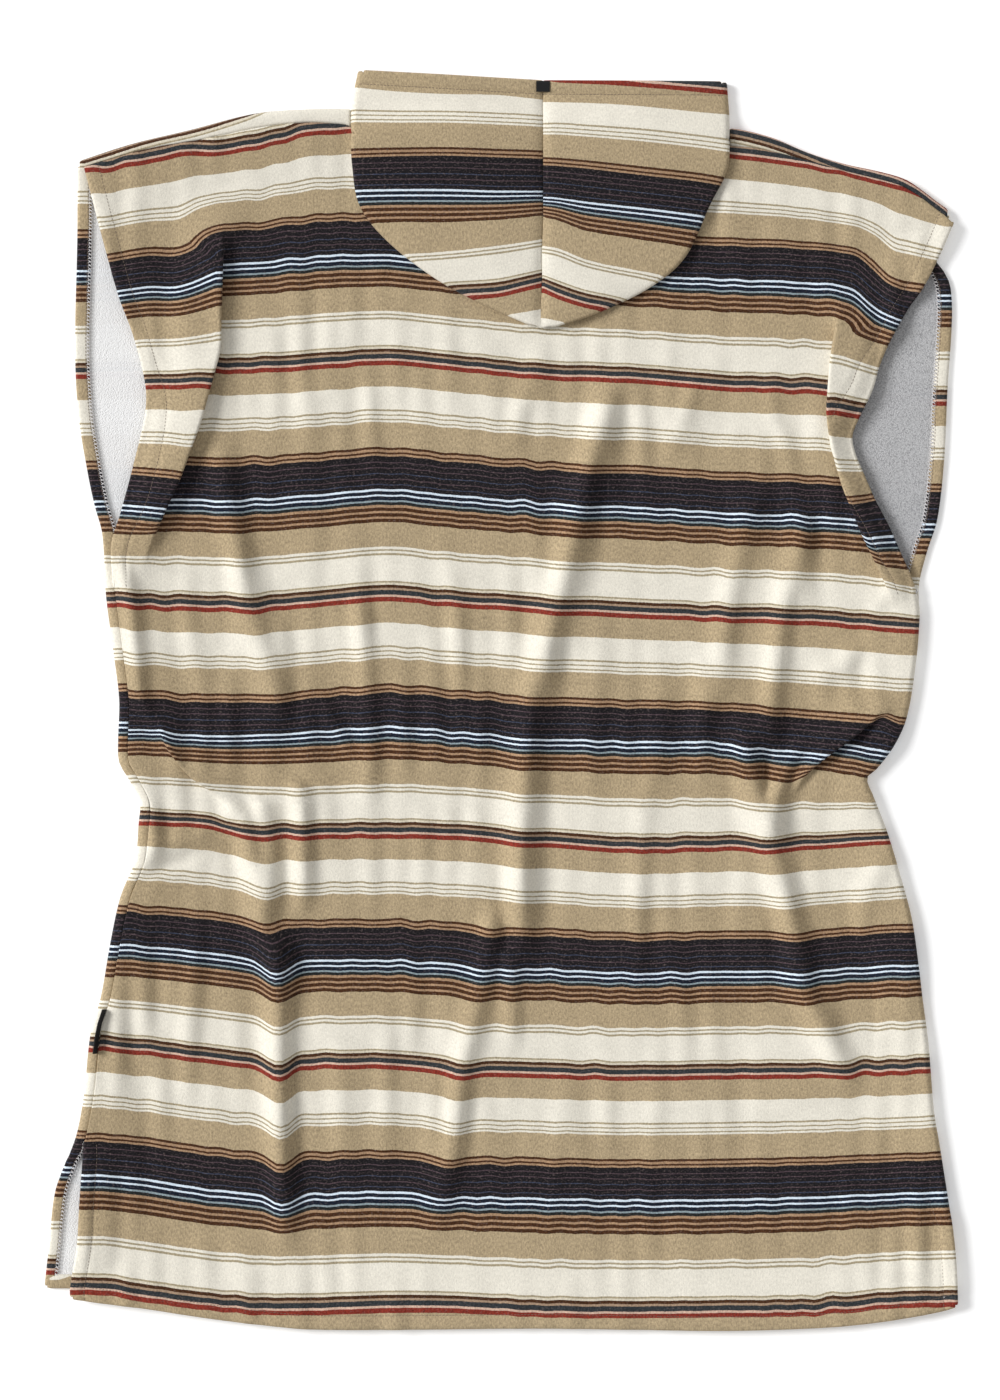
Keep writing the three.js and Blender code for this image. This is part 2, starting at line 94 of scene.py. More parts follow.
SHOULDER_FOLD = [
    (-372, 473), (-326, 488), (-272, 501), (-222, 514), (-188, 518), (-133, 519), (202, 502), (238, 494),
    (269, 481), (301, 471), (333, 464), (356, 457), (371, 447), (384, 437), (400, 426),
]
SHOULDER_SEAM = [
    (-366, 469), (-350, 474), (-310, 485), (-265, 493), (-210, 504), (-185, 507), (-165, 508),
    (-148, 507), (-134, 505), (-126, 498), (-118, 496), (-45, 499), (35, 500), (115, 498), (190, 488),
    (204, 487), (218, 486), (232, 484), (249, 480), (270, 474.5), (290, 469), (304, 465), (327, 459.5),
    (350, 453), (366, 444.5), (380, 434), (390, 426.5), (398, 419),
]
BACK_HEM = [
    (-378, -526), (-350, -530), (-310, -535), (-265, -542), (-210, -549), (-160, -553), (35, -552),
    (115, -553), (195, -554), (270, -552), (312, -549), (350, -544), (388, -537), (401, -533),
]
FRONT_CORNER = (-401, -517)  # of the front panel, past the left vent
LEFT_SEAM = (98, -388)  # top and bottom of the side seams
RIGHT_SEAM = (90, -444)
ARMHOLE_TOP = (462, 405)  # of the left and right armhole
NECK = (-132.3, 201.3)  # the sides of the neck opening
LOOSE_THREAD = [  # a thread end left at the right armhole's foot
    (349.4, 103.8, 11.5), (350.5, 100.5, 12), (353.8, 96.4, 12), (358, 94.6, 11.6), (366, 94.2, 9.5),
]

# The pleats beside the armholes, a row for each: which side of a walk down the path the outer strip is on
# (1 is the right), over what width the strip rises to its lip, and the lip's path, each point with how
# far the lip lies over the main panel there and how high it stands
PLEATS = [
    (1, 40, [(-250, 452, 0, 0), (-247, 424, 1, 5), (-246, 395, 6, 9), (-246, 379, 11, 10),
             (-247, 340, 15, 10), (-247, 310, 15, 10), (-258, 270, 15, 10), (-265, 244, 15, 10),
             (-283, 195, 14, 9), (-297, 165, 11, 8), (-312, 132, 4, 4), (-318, 116, 0, 0)]),
    (-1, 34, [(306, 372, 0, 0), (300, 345, 2, 6), (293, 315, 9, 8), (290, 295, 12, 9), (287, 255, 12, 9),
              (290, 225, 11, 9), (302, 186, 10, 9), (318, 147, 9, 9), (332, 118, 8, 8), (342, 98, 5, 5),
              (349, 84, 0, 0)]),
]
# The two tucks where the waist is pushed together, as the pleats, but with how much lower the stripes lie
# on the part below the lip
TUCKS = [
    (-1, 24, -3, [(-298, -14, 0, 0), (-296, -28, 3, 4), (-292, -41, 5, 6), (-281, -57, 6, 7),
                  (-272, -67, 6, 7), (-257, -76, 5, 5), (-243, -86, 2, 3), (-232, -96, 0, 0)]),
    (1, 30, -11, [(345, -5, 0, 0), (334, -13, 4, 4), (326, -18, 7, 7), (307, -33.5, 9, 9), (294, -43, 9, 9),
                  (283, -51, 8, 8), (267.5, -64, 5, 6), (258, -76, 2, 3), (250, -90, 0, 0)]),
]
TUCK_FADE = 50  # how far from a tuck its stripes run true again
TUCK_END = 26  # the same towards its foot
LIP = 8  # width over which a pleat's lip turns down and back
SOFT_LIP = 44  # the same where the pleat begins as a soft bend
SOFT_TUCK = 12  # the same for a tuck
EDGE_CALM = 9  # how near to its edge a strip lies still
# Lines that the back panel's columns of points follow, as x by y: they hold the pleats' lips
LEFT_GUIDE = [
    (-560, -335), (-400, -330), (-200, -290), (-130, -250), (-96, -233), (-84.5, -242), (-72, -253.5),
    (-62.5, -268), (-52.5, -277), (-37, -288.5), (-26, -294), (0, -303), (60, -312), (118, -318),
    (132, -316), (165, -308), (195, -297), (244, -280), (270, -273), (310, -262), (340, -262), (379, -257),
    (395, -252), (424, -248), (452, -250), (510, -258),
]
RIGHT_GUIDE = [
    (-560, 362), (-400, 350), (-200, 330), (-150, 305), (-110, 268), (-90, 254), (-76, 258), (-60, 264),
    (-45, 278), (-36, 288), (-26.6, 301), (-12.6, 321), (-4, 332), (40, 337), (90, 345), (118, 336),
    (147, 323), (186, 309), (225, 300), (255, 299), (295, 302), (315, 302), (345, 302), (372, 306),
    (400, 312), (440, 322), (500, 330),
]

# The back panel's folds, a row for each: half width, how high it stands, how much lower the stripes lie
# on it, and the path of its crest
FOLDS = [
    (13, 6.5, 2, [(-252, 238), (-244, 190), (-237, 150), (-218, 73), (-199, 6), (-186, -36)]),
    (9, 4.5, 1, [(-128, 100), (-123, 68), (-118, 6), (-115, -50), (-120, -112)]),
    (14, 8.5, 2, [(118, 300), (96, 267), (76, 202), (65, 150), (46, 73), (28, 6), (21, -55), (18, -121),
                  (18, -202), (12, -270)]),
    (13, 4.5, 1, [(228, 190), (215, 158), (199, 79), (187, 3), (180, -30)]),
    (11, 5.0, 1, [(270, 170), (263, 141), (246, 68), (235, -6), (226, -48)]),
    (13, 7.0, 3, [(205, -20), (215, -35), (219, -55), (235, -126), (250, -179), (260, -209), (266, -256),
                  (298, -319), (312, -356)]),
    (9, 5.0, 3, [(-212, -80), (-210, -100), (-203, -138), (-202, -205)]),
    (9, 6.0, 2, [(-180, -70), (-177, -82), (-174, -126), (-174, -205)]),
    (11, 9.0, 9.5, [(-198, -190), (-196, -238), (-196, -319), (-194, -407), (-188, -500)]),
    (11, 6.0, 4, [(-4, -180), (-10, -202), (-19, -255), (-34, -326), (-46, -407), (-62, -490)]),
    (8, 4.0, 2, [(6, -216), (8, -232), (11, -312)]),
    (9, 4.5, 0, [(-336, 130), (-326, 91), (-318, 9), (-296, -35), (-270, -72)]),
    (11, 6.5, 4, [(-246, -84), (-230, -105), (-215, -147), (-209, -212), (-190, -262)]),
    (9, 5.5, 2, [(256, -44), (244, -86), (238, -130)]),
]
FOLD_END = 0.2  # share of a fold's length over which it dies away
FOLD_HEIGHT = 1.4  # all the folds, in their own heights
FOLD_WIDTH = 0.88  # the same in their own widths
LOFT = 1.4  # how far the back panel stands off the front between its folds

# Smaller creases: half width, rise or depth, and path
CREASES = [
    (8, -2.2, [(-236, 300), (-222, 200), (-196, 90), (-170, 20)]),
    (9, 2.0, [(-285, 120), (-270, 40), (-262, -10)]),
    (7, -2.4, [(-318, 30), (-300, -30), (-270, -62)]),
    (7, 2.4, [(-60, 190), (-40, 80), (-34, -30), (-44, -120)]),
    (8, -2.0, [(-150, 90), (-146, -10), (-150, -120)]),
    (7, 2.2, [(80, 120), (84, 10), (96, -90)]),
    (7, -2.4, [(54, 110), (46, 0), (40, -130), (38, -260)]),
    (9, 2.2, [(120, 40), (130, -60), (118, -190), (124, -300)]),
    (10, -2.0, [(176, -150), (200, -250), (214, -380), (210, -480)]),
    (5, 4.5, [(-164, 16), (-150, -18), (-141, -30), (-124, -62)]),
    (5, -4.5, [(272, -34), (265, -46), (256, -60), (247, -90)]),
    (5, -4.0, [(236, -30), (234, -60), (232, -100)]),
    (7, 3.5, [(-320, -92), (-306, -104), (-304, -124), (-308, -140)]),
    (8, 2.6, [(330, 60), (300, 30), (262, 10)]),
    (8, -2.6, [(-170, -150), (-176, -230), (-178, -320), (-172, -480)]),
    (10, 2.2, [(-260, -150), (-272, -260), (-280, -380)]),
    (9, -2.2, [(-60, -240), (-76, -350), (-98, -470)]),
    (11, 2.0, [(60, -300), (52, -400), (44, -500)]),
    (10, 1.8, [(-130, -250), (-138, -370), (-146, -490)]),
    (9, -2.0, [(300, -150), (316, -250), (330, -380)]),
    (9, 2.4, [(40, 330), (24, 270), (-6, 190)]),
    (8, 2.6, [(180, 300), (160, 250), (142, 190)]),
    (7, -2.4, [(206, 300), (190, 240), (172, 170)]),
    (7, 2.2, [(236, 300), (240, 250), (262, 190)]),
    (9, 2.0, [(-180, 330), (-170, 250), (-176, 170)]),
    (8, -1.8, [(-120, 330), (-104, 260), (-96, 190)]),
    (9, 2.6, [(-338, -150), (-300, -128), (-262, -118), (-236, -130)]),
    (7, -2.6, [(-330, -166), (-296, -146), (-260, -138)]),
    (10, 2.4, [(345, -120), (322, -170), (310, -230)]),
]
# The gathered waist: where its short waves stand and how high
WAIST_WAVES = [
    (-262, 2.2), (-240, 3.0), (-204, 2.4), (-170, 3.0), (-148, 2.0), (-86, 3.0), (-60, 2.0), (-18, 2.8),
    (44, 2.4), (78, 3.0), (112, 2.0), (140, 2.8), (176, 2.6), (212, 3.0), (240, 2.0),
]
WAIST_Y = -26
WAIST_HALF_LENGTH = 44

# The hood's rows, from the face edge to the tip: the fold at its left, its seam and the fold at its
# right, then the under layer at the middle, which ends at the front neck for FRONT_ROWS and on the back
# panel for BACK_ROWS
HOOD_ROWS = [
    ((-126, 552), (37, 543), (199, 542)), ((-129, 539), (37, 531), (200, 529)),
    ((-132, 520), (37, 508), (201, 514)), ((-132, 498), (37, 484), (201, 493)),
    ((-131, 470), (37, 454), (199, 466)), ((-124, 434), (37, 425), (184, 436)),
    ((-98, 402), (36, 396), (163, 391)), ((-56, 370), (36, 370), (132, 364)),
    ((-15, 348), (35, 347), (85, 341)),
    ((26, 330), (35, 327), (46, 328.5)),
]
HOOD_NECK_ROW = 3
HOOD_FRONT_ENDS = [(0, 468), (1, 459), (2, 446), (3, 433)]  # y of the under layer's end at the seam, by row
HOOD_BACK_ENDS = [(3, 497), (4, 466), (5, 436), (6, 404), (7, 376), (8, 350), (9, 329)]

# The striped cloth: yarn colours and the bands of one repeat in their order down the cloth, from the
# middle of the red stripe, each with its width
YARNS = {
    "red": (124, 46, 35), "tan": (168, 150, 120), "cream": (223, 218, 205), "grey tan": (160, 148, 122),
    "brown": (66, 40, 22), "orange": (160, 130, 102), "charcoal": (26, 24, 27), "plum": (74, 60, 66),
    "blue": (56, 62, 80), "ice": (208, 221, 234), "navy": (18, 26, 40), "grey green": (136, 150, 156),
    "black": (30, 33, 33), "pink": (156, 132, 110), "slate": (46, 50, 53), "rose": (196, 166, 148),
    "oat": (206, 197, 178),
}
BANDS = [
    ("red", 1.9), ("tan", 18.8), ("cream", 20.2), ("grey tan", 1.6), ("cream", 2.4), ("grey tan", 1.6),
    ("cream", 2.4), ("grey tan", 1.6), ("cream", 1.4), ("tan", 22.4), ("brown", 2.2), ("orange", 1.9),
    ("brown", 2.1), ("orange", 1.6), ("charcoal", 5.3), ("plum", 0.9), ("charcoal", 4.0), ("plum", 0.9),
    ("charcoal", 4.0), ("blue", 0.9), ("charcoal", 4.0), ("plum", 0.9), ("charcoal", 4.0), ("blue", 0.9),
    ("charcoal", 3.6), ("ice", 1.6), ("navy", 3.1), ("ice", 1.5), ("navy", 3.4), ("grey green", 1.6),
    ("black", 2.7), ("orange", 2.1), ("brown", 3.1), ("orange", 2.1), ("brown", 2.7), ("orange", 2.0),
    ("brown", 3.0), ("tan", 21.6), ("cream", 2.2), ("grey tan", 1.7), ("cream", 1.8), ("grey tan", 1.8),
    ("cream", 22.9), ("grey tan", 1.5), ("oat", 1.8), ("brown", 2.8), ("pink", 1.8), ("slate", 4.4),
    ("rose", 1.9), ("red", 1.9),
]
REPEAT = sum(width for _, width in BANDS)

# Where the stripes run on the body: x of the columns, then rows of y, each with its place in the striped
# cloth as repeats down from the first red stripe
BODY_COLUMNS = [-350, -310, -265, -210, -160, -100, -45, 35, 115, 195, 270, 350, 390]
BODY_COURSES = [
    (0.000, [466, 474, 478, 487, 499, 498, 495, 490, 485, 479, 469, 450.5, 437]),
    (0.394, [400, 406, 411, 415, 421, 421, 415, 408, 403, 400, 397, 388, 384]),
    (1.000, [286, 288, 289, 290, 293, 297, 292, 284, 281, 274, 271, 265, 262]),
    (2.000, [85, 81, 80, 80, 84, 89, 84, 79, 74, 71, 68, 61, 58]),
    (2.534, [-26, -27, -31, -30, -27, -22.5, -27, -33, -36, -37, -46, -52, -52]),
    (3.000, [-105, -108, -111, -118, -120, -120, -121, -127, -133, -131, -130, -124, -122]),
    (4.000, [-307, -311, -317, -323, -323, -323, -328, -331, -333, -332, -331, -328, -326]),
    (4.534, [-417, -421.5, -429, -434, -433.5, -432, -436, -438, -439.5, -439, -437, -433.5, -432]),
    (5.000, [-521, -528, -534, -539, -539, -537, -537, -541, -542, -541, -540, -533, -532]),
]
# The same on the front panel
FRONT_COLUMNS = [-390, -330, 330, 390]
FRONT_COURSES = [
    (0.000, [488, 492, 470, 466]),
    (0.394, [406, 408, 392, 386]),
    (1.000, [284, 286, 268, 261]),
    (1.394, [202, 204, 188, 183]),
    (2.000, [84, 83, 66, 61]),
    (3.000, [-105, -108, -126, -124]),
    (4.000, [-303, -311, -331, -328]),
    (4.534, [-409, -421, -440, -440]),
    (5.000, [-504, -521, -543, -533]),
]
# The same on the strips outside the two armhole pleats
STRIP_LEFT_COLUMNS = [-350, -310, -283, -250]
STRIP_LEFT_COURSES = [
    (0.000, [466, 474, 480, 489]),
    (0.394, [384, 391, 391, 407]),
    (1.000, [272, 275, 275.5, 275.5]),
    (1.394, [200, 197, 194, 190]),
    (2.000, [85, 81, 80, 80]),
    (3.000, [-105, -108, -111, -118]),
]
STRIP_RIGHT_COLUMNS = [290, 315, 335, 355, 390]
STRIP_RIGHT_COURSES = [
    (0.000, [464, 459, 454, 449, 437]),
    (0.394, [394, 381, 369, 361, 356]),
    (1.000, [252.5, 249, 247, 246, 245]),
    (1.394, [171, 173, 177, 180, 181]),
    (1.560, [138, 137, 138, 139, 140]),
    (1.680, [116, 115, 114, 113, 112]),
    (1.800, [98, 96, 94, 92, 91]),
    (2.000, [66, 63, 61, 62, 62]),
    (3.000, [-130, -128, -126, -124, -123]),
]
# The same on the hood's halves
HOOD_LEFT_COLUMNS = [-128, -93, -48, -4, 18, 35]
HOOD_LEFT_COURSES = [
    (0.000, [559, 555, 553, 552, 550, 548]),
    (0.099, [539, 535.5, 533, 532, 530, 528]),
    (0.196, [519, 518, 517.5, 516, 515, 514]),
    (0.394, [477, 478, 478.5, 477, 476.5, 476]),
    (0.533, [449, 449.5, 449.5, 448, 448, 448]),
    (0.675, [419, 420, 420, 422, 424, 426]),
    (0.778, [391, 391.5, 394, 399, 402, 405]),
    (1.000, [350, 352, 354, 355.5, 360.5, 365]),
    (1.099, [331, 333, 336, 338.5, 341, 344]),
]
HOOD_RIGHT_COLUMNS = [38, 51, 73, 95, 128, 173, 200]
HOOD_RIGHT_COURSES = [
    (0.000, [546.5, 545, 544, 543, 540.5, 537, 534.5]),
    (0.099, [526, 525.5, 525, 524, 521.5, 517, 515]),
    (0.196, [507, 507, 505.5, 504, 501.5, 496.5, 493]),
    (0.394, [470.5, 469.5, 467.5, 465, 461, 456, 451.5]),
    (0.533, [442.5, 441.5, 438.5, 436, 432.5, 427, 423]),
    (0.675, [425, 421.5, 413, 409, 404, 397, 392.5]),
    (0.778, [399, 396.5, 387.5, 382, 376, 366, 361]),
    (1.000, [360.5, 354, 347, 343, 335, 325.5, 320.5]),
    (1.099, [336, 333.5, 328, 324, 317, 308, 303]),
]


def mix(a, b, t):
    return a + (b - a) * t


def smooth(low, high, value):
    t = np.clip((value - low) / (high - low), 0, 1)
    return t * t * (3 - 2 * t)


def curve_at(pairs, values):
    """A smooth curve through pairs of numbers, read at values of the first one."""
    table = np.array(pairs, dtype=float)
    starts, ends = table[:, 0], table[:, 1]
    slopes = np.gradient(ends, starts)
    slopes[1:-1] = (ends[2:] - ends[:-2]) / (starts[2:] - starts[:-2])
    value = np.clip(values, starts[0], starts[-1])
    i = np.clip(np.searchsorted(starts, value, side="right") - 1, 0, len(starts) - 2)
    width = starts[i + 1] - starts[i]
    t = (value - starts[i]) / width
    straight = mix(ends[i], ends[i + 1], t * t * (3 - 2 * t))
    return straight + t * (1 - t) * (slopes[i] * (1 - t) - slopes[i + 1] * t) * width


def by_height(outline):
    return [(y, x) for x, y in reversed(outline)]


FRONT_LEFT = by_height(FRONT_LEFT_EDGE)
FRONT_RIGHT = by_height(FRONT_RIGHT_EDGE)
BACK_LEFT = by_height(BACK_LEFT_EDGE)
BACK_RIGHT = by_height(BACK_RIGHT_EDGE)


def shoulder_seam_y(x):
    return curve_at(SHOULDER_SEAM, x)


def hem_y(x):
    return curve_at(BACK_HEM, x)


def stripes_at(columns, courses, x, y):
    """The place in the striped cloth, in repeats, of points of the garment."""
    heights = np.array([curve_at(list(zip(columns, row)), x) for _, row in courses])
    places = [place for place, _ in courses]
    found = places[0] - (y - heights[0]) / REPEAT
    for k in range(len(places) - 1):
        share = (heights[k] - y) / (heights[k] - heights[k + 1])
        found = np.where(y < heights[k], mix(places[k], places[k + 1], share), found)
    return np.where(y < heights[-1], places[-1] - (y - heights[-1]) / REPEAT, found)


def nearest_on(path, x, y):
    """Distance to a path, share of the way along it, distance to the walk's right, and that direction."""
    nearest = np.full(x.shape, np.inf)
    share = np.zeros(x.shape)
    signed = np.zeros(x.shape)
    side_x = np.zeros(x.shape)
    side_y = np.zeros(x.shape)
    for k, ((ax, ay), (bx, by)) in enumerate(zip(path, path[1:])):
        length = math.hypot(bx - ax, by - ay)
        ux, uy = (bx - ax) / length, (by - ay) / length
        run = np.clip((x - ax) * ux + (y - ay) * uy, 0, length)
        distance = np.hypot(x - ax - run * ux, y - ay - run * uy)
        closer = distance < nearest
        nearest = np.where(closer, distance, nearest)
        share = np.where(closer, (k + run / length) / (len(path) - 1), share)
        signed = np.where(closer, (x - ax) * uy - (y - ay) * ux, signed)
        side_x = np.where(closer, uy, side_x)
        side_y = np.where(closer, -ux, side_y)
    return nearest, share, signed, (side_x, side_y)


def swell_of(path, half, x, y, end=FOLD_END):
    """How much of a fold's full height stands at each point."""
    distance, share, _, _ = nearest_on(path, x, y)
    dying = smooth(0, end, share) * smooth(0, end, 1 - share)
    return np.exp(-((distance / half) ** 2)) * dying


def folds_at(x, y):
    """How far the folds and creases lift the back panel, and how much lower the stripes lie there."""
    SLIP_WIDTH = 1.25  # of the part where the stripes lie lower, in widths of the fold
    rise, slip = np.zeros(x.shape), np.zeros(x.shape)
    for half, height, lower, path in FOLDS:
        rise += height * swell_of(path, half * FOLD_WIDTH, x, y)
        slip += lower * swell_of(path, half * SLIP_WIDTH, x, y)
    for half, height, path in CREASES:
        rise += height * swell_of(path, half, x, y, end=0.4)
    for wave_x, height in WAIST_WAVES:
        across = np.exp(-(((x - wave_x) / 8) ** 2))
        along = np.exp(-(((y - WAIST_Y) / WAIST_HALF_LENGTH) ** 2))
        rise += height * across * along
    return rise, slip


def lip_at(side, width, path, soft, x, y):
    """How far a lip moves the points beside it, how much of each point belongs to the part that lies over,
    its share of the way along the lip, and how far inward of the lip it was."""
    _, share, signed, (right_x, right_y) = nearest_on([(px, py) for px, py, _, _ in path], x, y)
    last = len(path) - 1
    lean = curve_at([(k / last, point[2]) for k, point in enumerate(path)], share)
    rise = curve_at([(k / last, point[3]) for k, point in enumerate(path)], share)
    inward = lean - signed * side
    behind = smooth(-width, 0, inward)
    move = -side * lean * np.where(inward < 0, behind, 1 - smooth(0, LIP, inward))
    fall = mix(soft, LIP, smooth(0, 8, lean))
    lift = rise * np.where(inward < 0, behind, 1 - smooth(0, fall, inward))
    bend = mix(soft, LIP, smooth(2, 10, lean))
    moves = np.stack([move * right_x, move * right_y, lift])
    return moves, 1 - smooth(LIP - bend, LIP, inward), share, inward


def pleats_at(x, y, from_edge):
    """How far the pleats and tucks move points of the back panel, how much of a point belongs to each strip
    beside an armhole, and how much lower the tucks make the stripes lie."""
    moves, strips, slip = np.zeros((3, *x.shape)), [], np.zeros(x.shape)
    for side, width, path in PLEATS:
        move, over, _, _ = lip_at(side, width, path, SOFT_LIP, x, y)
        moves += move
        strips.append(over)
    for side, width, lower, path in TUCKS:
        move, over, share, inward = lip_at(side, width, path, SOFT_TUCK, x, y)
        moves += move
        dying = smooth(0, 0.2, share) * smooth(0, TUCK_END, y - path[-1][1])
        slip += lower * (1 - over) * dying * np.exp(-((inward / TUCK_FADE) ** 2))
    return moves * smooth(0, EDGE_CALM, from_edge), strips, slip


def ripple(x, y, height):
    """The slight unevenness of cloth that was smoothed out by hand."""
    waves = [
        (0.021, 0.009, 0.4), (0.013, 0.027, 2.1), (0.034, 0.019, 4.0), (0.008, 0.041, 1.2),
        (0.047, 0.012, 5.2),
    ]
    return height * sum(np.sin(a * x + b * y + phase) for a, b, phase in waves) / len(waves)


def fine_drape(x, y, height):
    """Narrow waves that run down the cloth, in patches."""
    waves = [
        (0.19, 0.012, 0.3), (0.13, -0.020, 1.7), (0.24, 0.030, 3.1), (0.16, 0.035, 5.0), (0.29, -0.015, 0.9),
    ]
    patch = 0.5 + 0.5 * np.sin(0.017 * x + 0.011 * y + 0.6) * np.sin(0.009 * x - 0.019 * y + 2.0)
    return height * patch * sum(np.sin(a * x + b * y + phase) for a, b, phase in waves) / len(waves)


def back_level(x, y):
    """The back panel's height without its folds: high at its seams and hems and low between them."""
    sides = np.minimum(x - curve_at(BACK_LEFT, y), curve_at(BACK_RIGHT, y) - x)
    ends = np.minimum(shoulder_seam_y(x) - y, y - hem_y(x))
    return mix(EDGE_LEVEL, REST_LEVEL, smooth(0, EDGE_REACH, np.minimum(sides, ends)))


class Sheet:
    """A sheet of cloth: points in its middle, their place in the woven cloth, and four-cornered cells."""

    def __init__(self):
        self.points = np.zeros((0, 3))
        self.weave = np.zeros((0, 2))
        self.cells = np.zeros((0, 4), dtype=int)
        self.stitches = []  # lines of points
        self.overlock = []

    def add(self, x, y, z, across, down):
        """New points. It gives their numbers, in the arrays' own shape."""
        first = len(self.points)
        flat = [np.broadcast_to(part, x.shape).ravel() for part in (x, y, z, across, down)]
        self.points = np.vstack([self.points, np.column_stack(flat[:3])])
        self.weave = np.vstack([self.weave, np.column_stack(flat[3:])])
        return np.arange(first, first + x.size).reshape(x.shape)

    def join(self, ids):
        """Cells between rows of points. Rows run down and columns to the right, so that cells face up."""
        cells = np.stack([ids[:-1, :-1], ids[1:, :-1], ids[1:, 1:], ids[:-1, 1:]], axis=-1)
        self.cells = np.vstack([self.cells, cells.reshape(-1, 4)])

    def normals(self):
        a, b, c, d = (self.points[self.cells[:, k]] for k in range(4))
        facing = np.cross(c - a, d - b)
        found = np.zeros_like(self.points)
        for k in range(4):
            np.add.at(found, self.cells[:, k], facing)
        return found / np.maximum(np.linalg.norm(found, axis=1, keepdims=True), 1e-9)

    def rim(self):
        """The free edges, each as a pair of points in the order of its cell."""
        edges = np.vstack([self.cells[:, [k, (k + 1) % 4]] for k in range(4)])
        keys = edges[:, 0] * len(self.points) + edges[:, 1]
        twins = edges[:, 1] * len(self.points) + edges[:, 0]
        return edges[~np.isin(keys, twins)]


def turn_edge(sheet, ids, out, up, radius, turn, over, settle=0.0):
    """Folds cloth on from a line of points: an arc of the given turn, then a flat run of length over.

    out is the direction away from the panel, up is 1 or -1, and the others are numbers or one value for each
    point. The run's end settles back by the last one. It gives the rows of points, from the line on."""
    ARC_STEPS, OVER_STEPS = 6, 3
    start, weave = sheet.points[ids], sheet.weave[ids]
    radius, turn, over = (part + np.zeros(ids.shape) for part in (radius, turn, over))
    rows = [ids]
    for k in range(1, ARC_STEPS + OVER_STEPS + 1):
        share = min(k / ARC_STEPS, 1)
        run = max(k - ARC_STEPS, 0) / OVER_STEPS * over
        angle = turn * share
        away = radius * np.sin(angle) + run * np.cos(angle)
        sunk = settle * (max(k - ARC_STEPS, 0) / OVER_STEPS) ** 2
        rise = radius * (1 - np.cos(angle)) + run * np.sin(angle) - sunk
        x, y = start[:, 0] + out[0] * away, start[:, 1] + out[1] * away
        length = radius * angle + run
        across, down = weave[:, 0] + out[0] * length, weave[:, 1] - out[1] * length / REPEAT
        rows.append(sheet.add(x, y, start[:, 2] + up * rise, across, down))
    return np.stack(rows)


def meeting_x(edge, row_y):
    """Where the rows of a panel, whose height changes along them, meet an edge."""
    TRIES = 14
    STRIDE = 0.7  # share of the way to the next guess that each try goes, so that it settles
    x = np.full((len(row_y(0.0)), 1), float(edge[len(edge) // 2][1]))
    for _ in range(TRIES):
        x = mix(x, curve_at(edge, row_y(x)), STRIDE)
    return x


def crowded(count, reach, times):
    """Shares from 0 to 1 that lie closer together at both ends."""
    fine = np.linspace(0, 1, 2001)
    density = 1 + times * (np.exp(-fine / reach) + np.exp((fine - 1) / reach))
    total = np.concatenate([[0], np.cumsum((density[1:] + density[:-1]) / 2)])
    return np.interp(np.linspace(0, 1, count), total / total[-1], fine)


def columns_between(lines, runs):
    """Columns of a panel, in runs from each line to the next. A run has its count, reach and times."""
    parts = [lines[0]]
    for before, after, (count, reach, times) in zip(lines, lines[1:], runs):
        parts.append(mix(before, after, crowded(count, reach, times)[None, 1:]))
    return np.hstack(parts)


def read_across(x, points, at):
    """Points where each row of a grid passes an x."""
    rows = range(len(x))
    return np.array([[np.interp(at[r], x[r], points[r, :, axis]) for axis in range(3)] for r in rows])


def read_down(y, points, at):
    """Points where each column of a grid passes a y."""
    return read_across(-y.T, points.transpose(1, 0, 2), -at)


def raised(points, by=HALF):
    return points + (0, 0, by)


def seamed_share(seam, y):
    """1 along a side seam, falling to 0 a little beyond its ends."""
    BEYOND = 16
    return smooth(seam[1] - BEYOND, seam[1], y) * (1 - smooth(seam[0], seam[0] + BEYOND, y))


def row_heights(top, bottom, rows):
    shares = crowded(rows, 0.015, 3)[:, None]
    return lambda x: mix(top(x), bottom(x), shares)


def reach_of(radius, turn):
    """How far an edge's arc stands out from where it starts."""
    return radius * np.sin(np.minimum(turn, math.pi / 2))


def front_neck_y(x):
    """The round front neckline below the hood."""
    sides = {True: HOOD_ROWS[HOOD_NECK_ROW][0], False: HOOD_ROWS[HOOD_NECK_ROW][2]}
    middle_x, middle_y = HOOD_ROWS[HOOD_NECK_ROW][1][0], HOOD_FRONT_ENDS[-1][1]
    left = x < middle_x
    side_x = np.where(left, sides[True][0], sides[False][0])
    side_y = np.where(left, sides[True][1], sides[False][1])
    across = np.clip((x - side_x) / (middle_x - side_x), 0, 1)
    return mix(side_y, middle_y, np.sin(across * (math.pi / 2)))


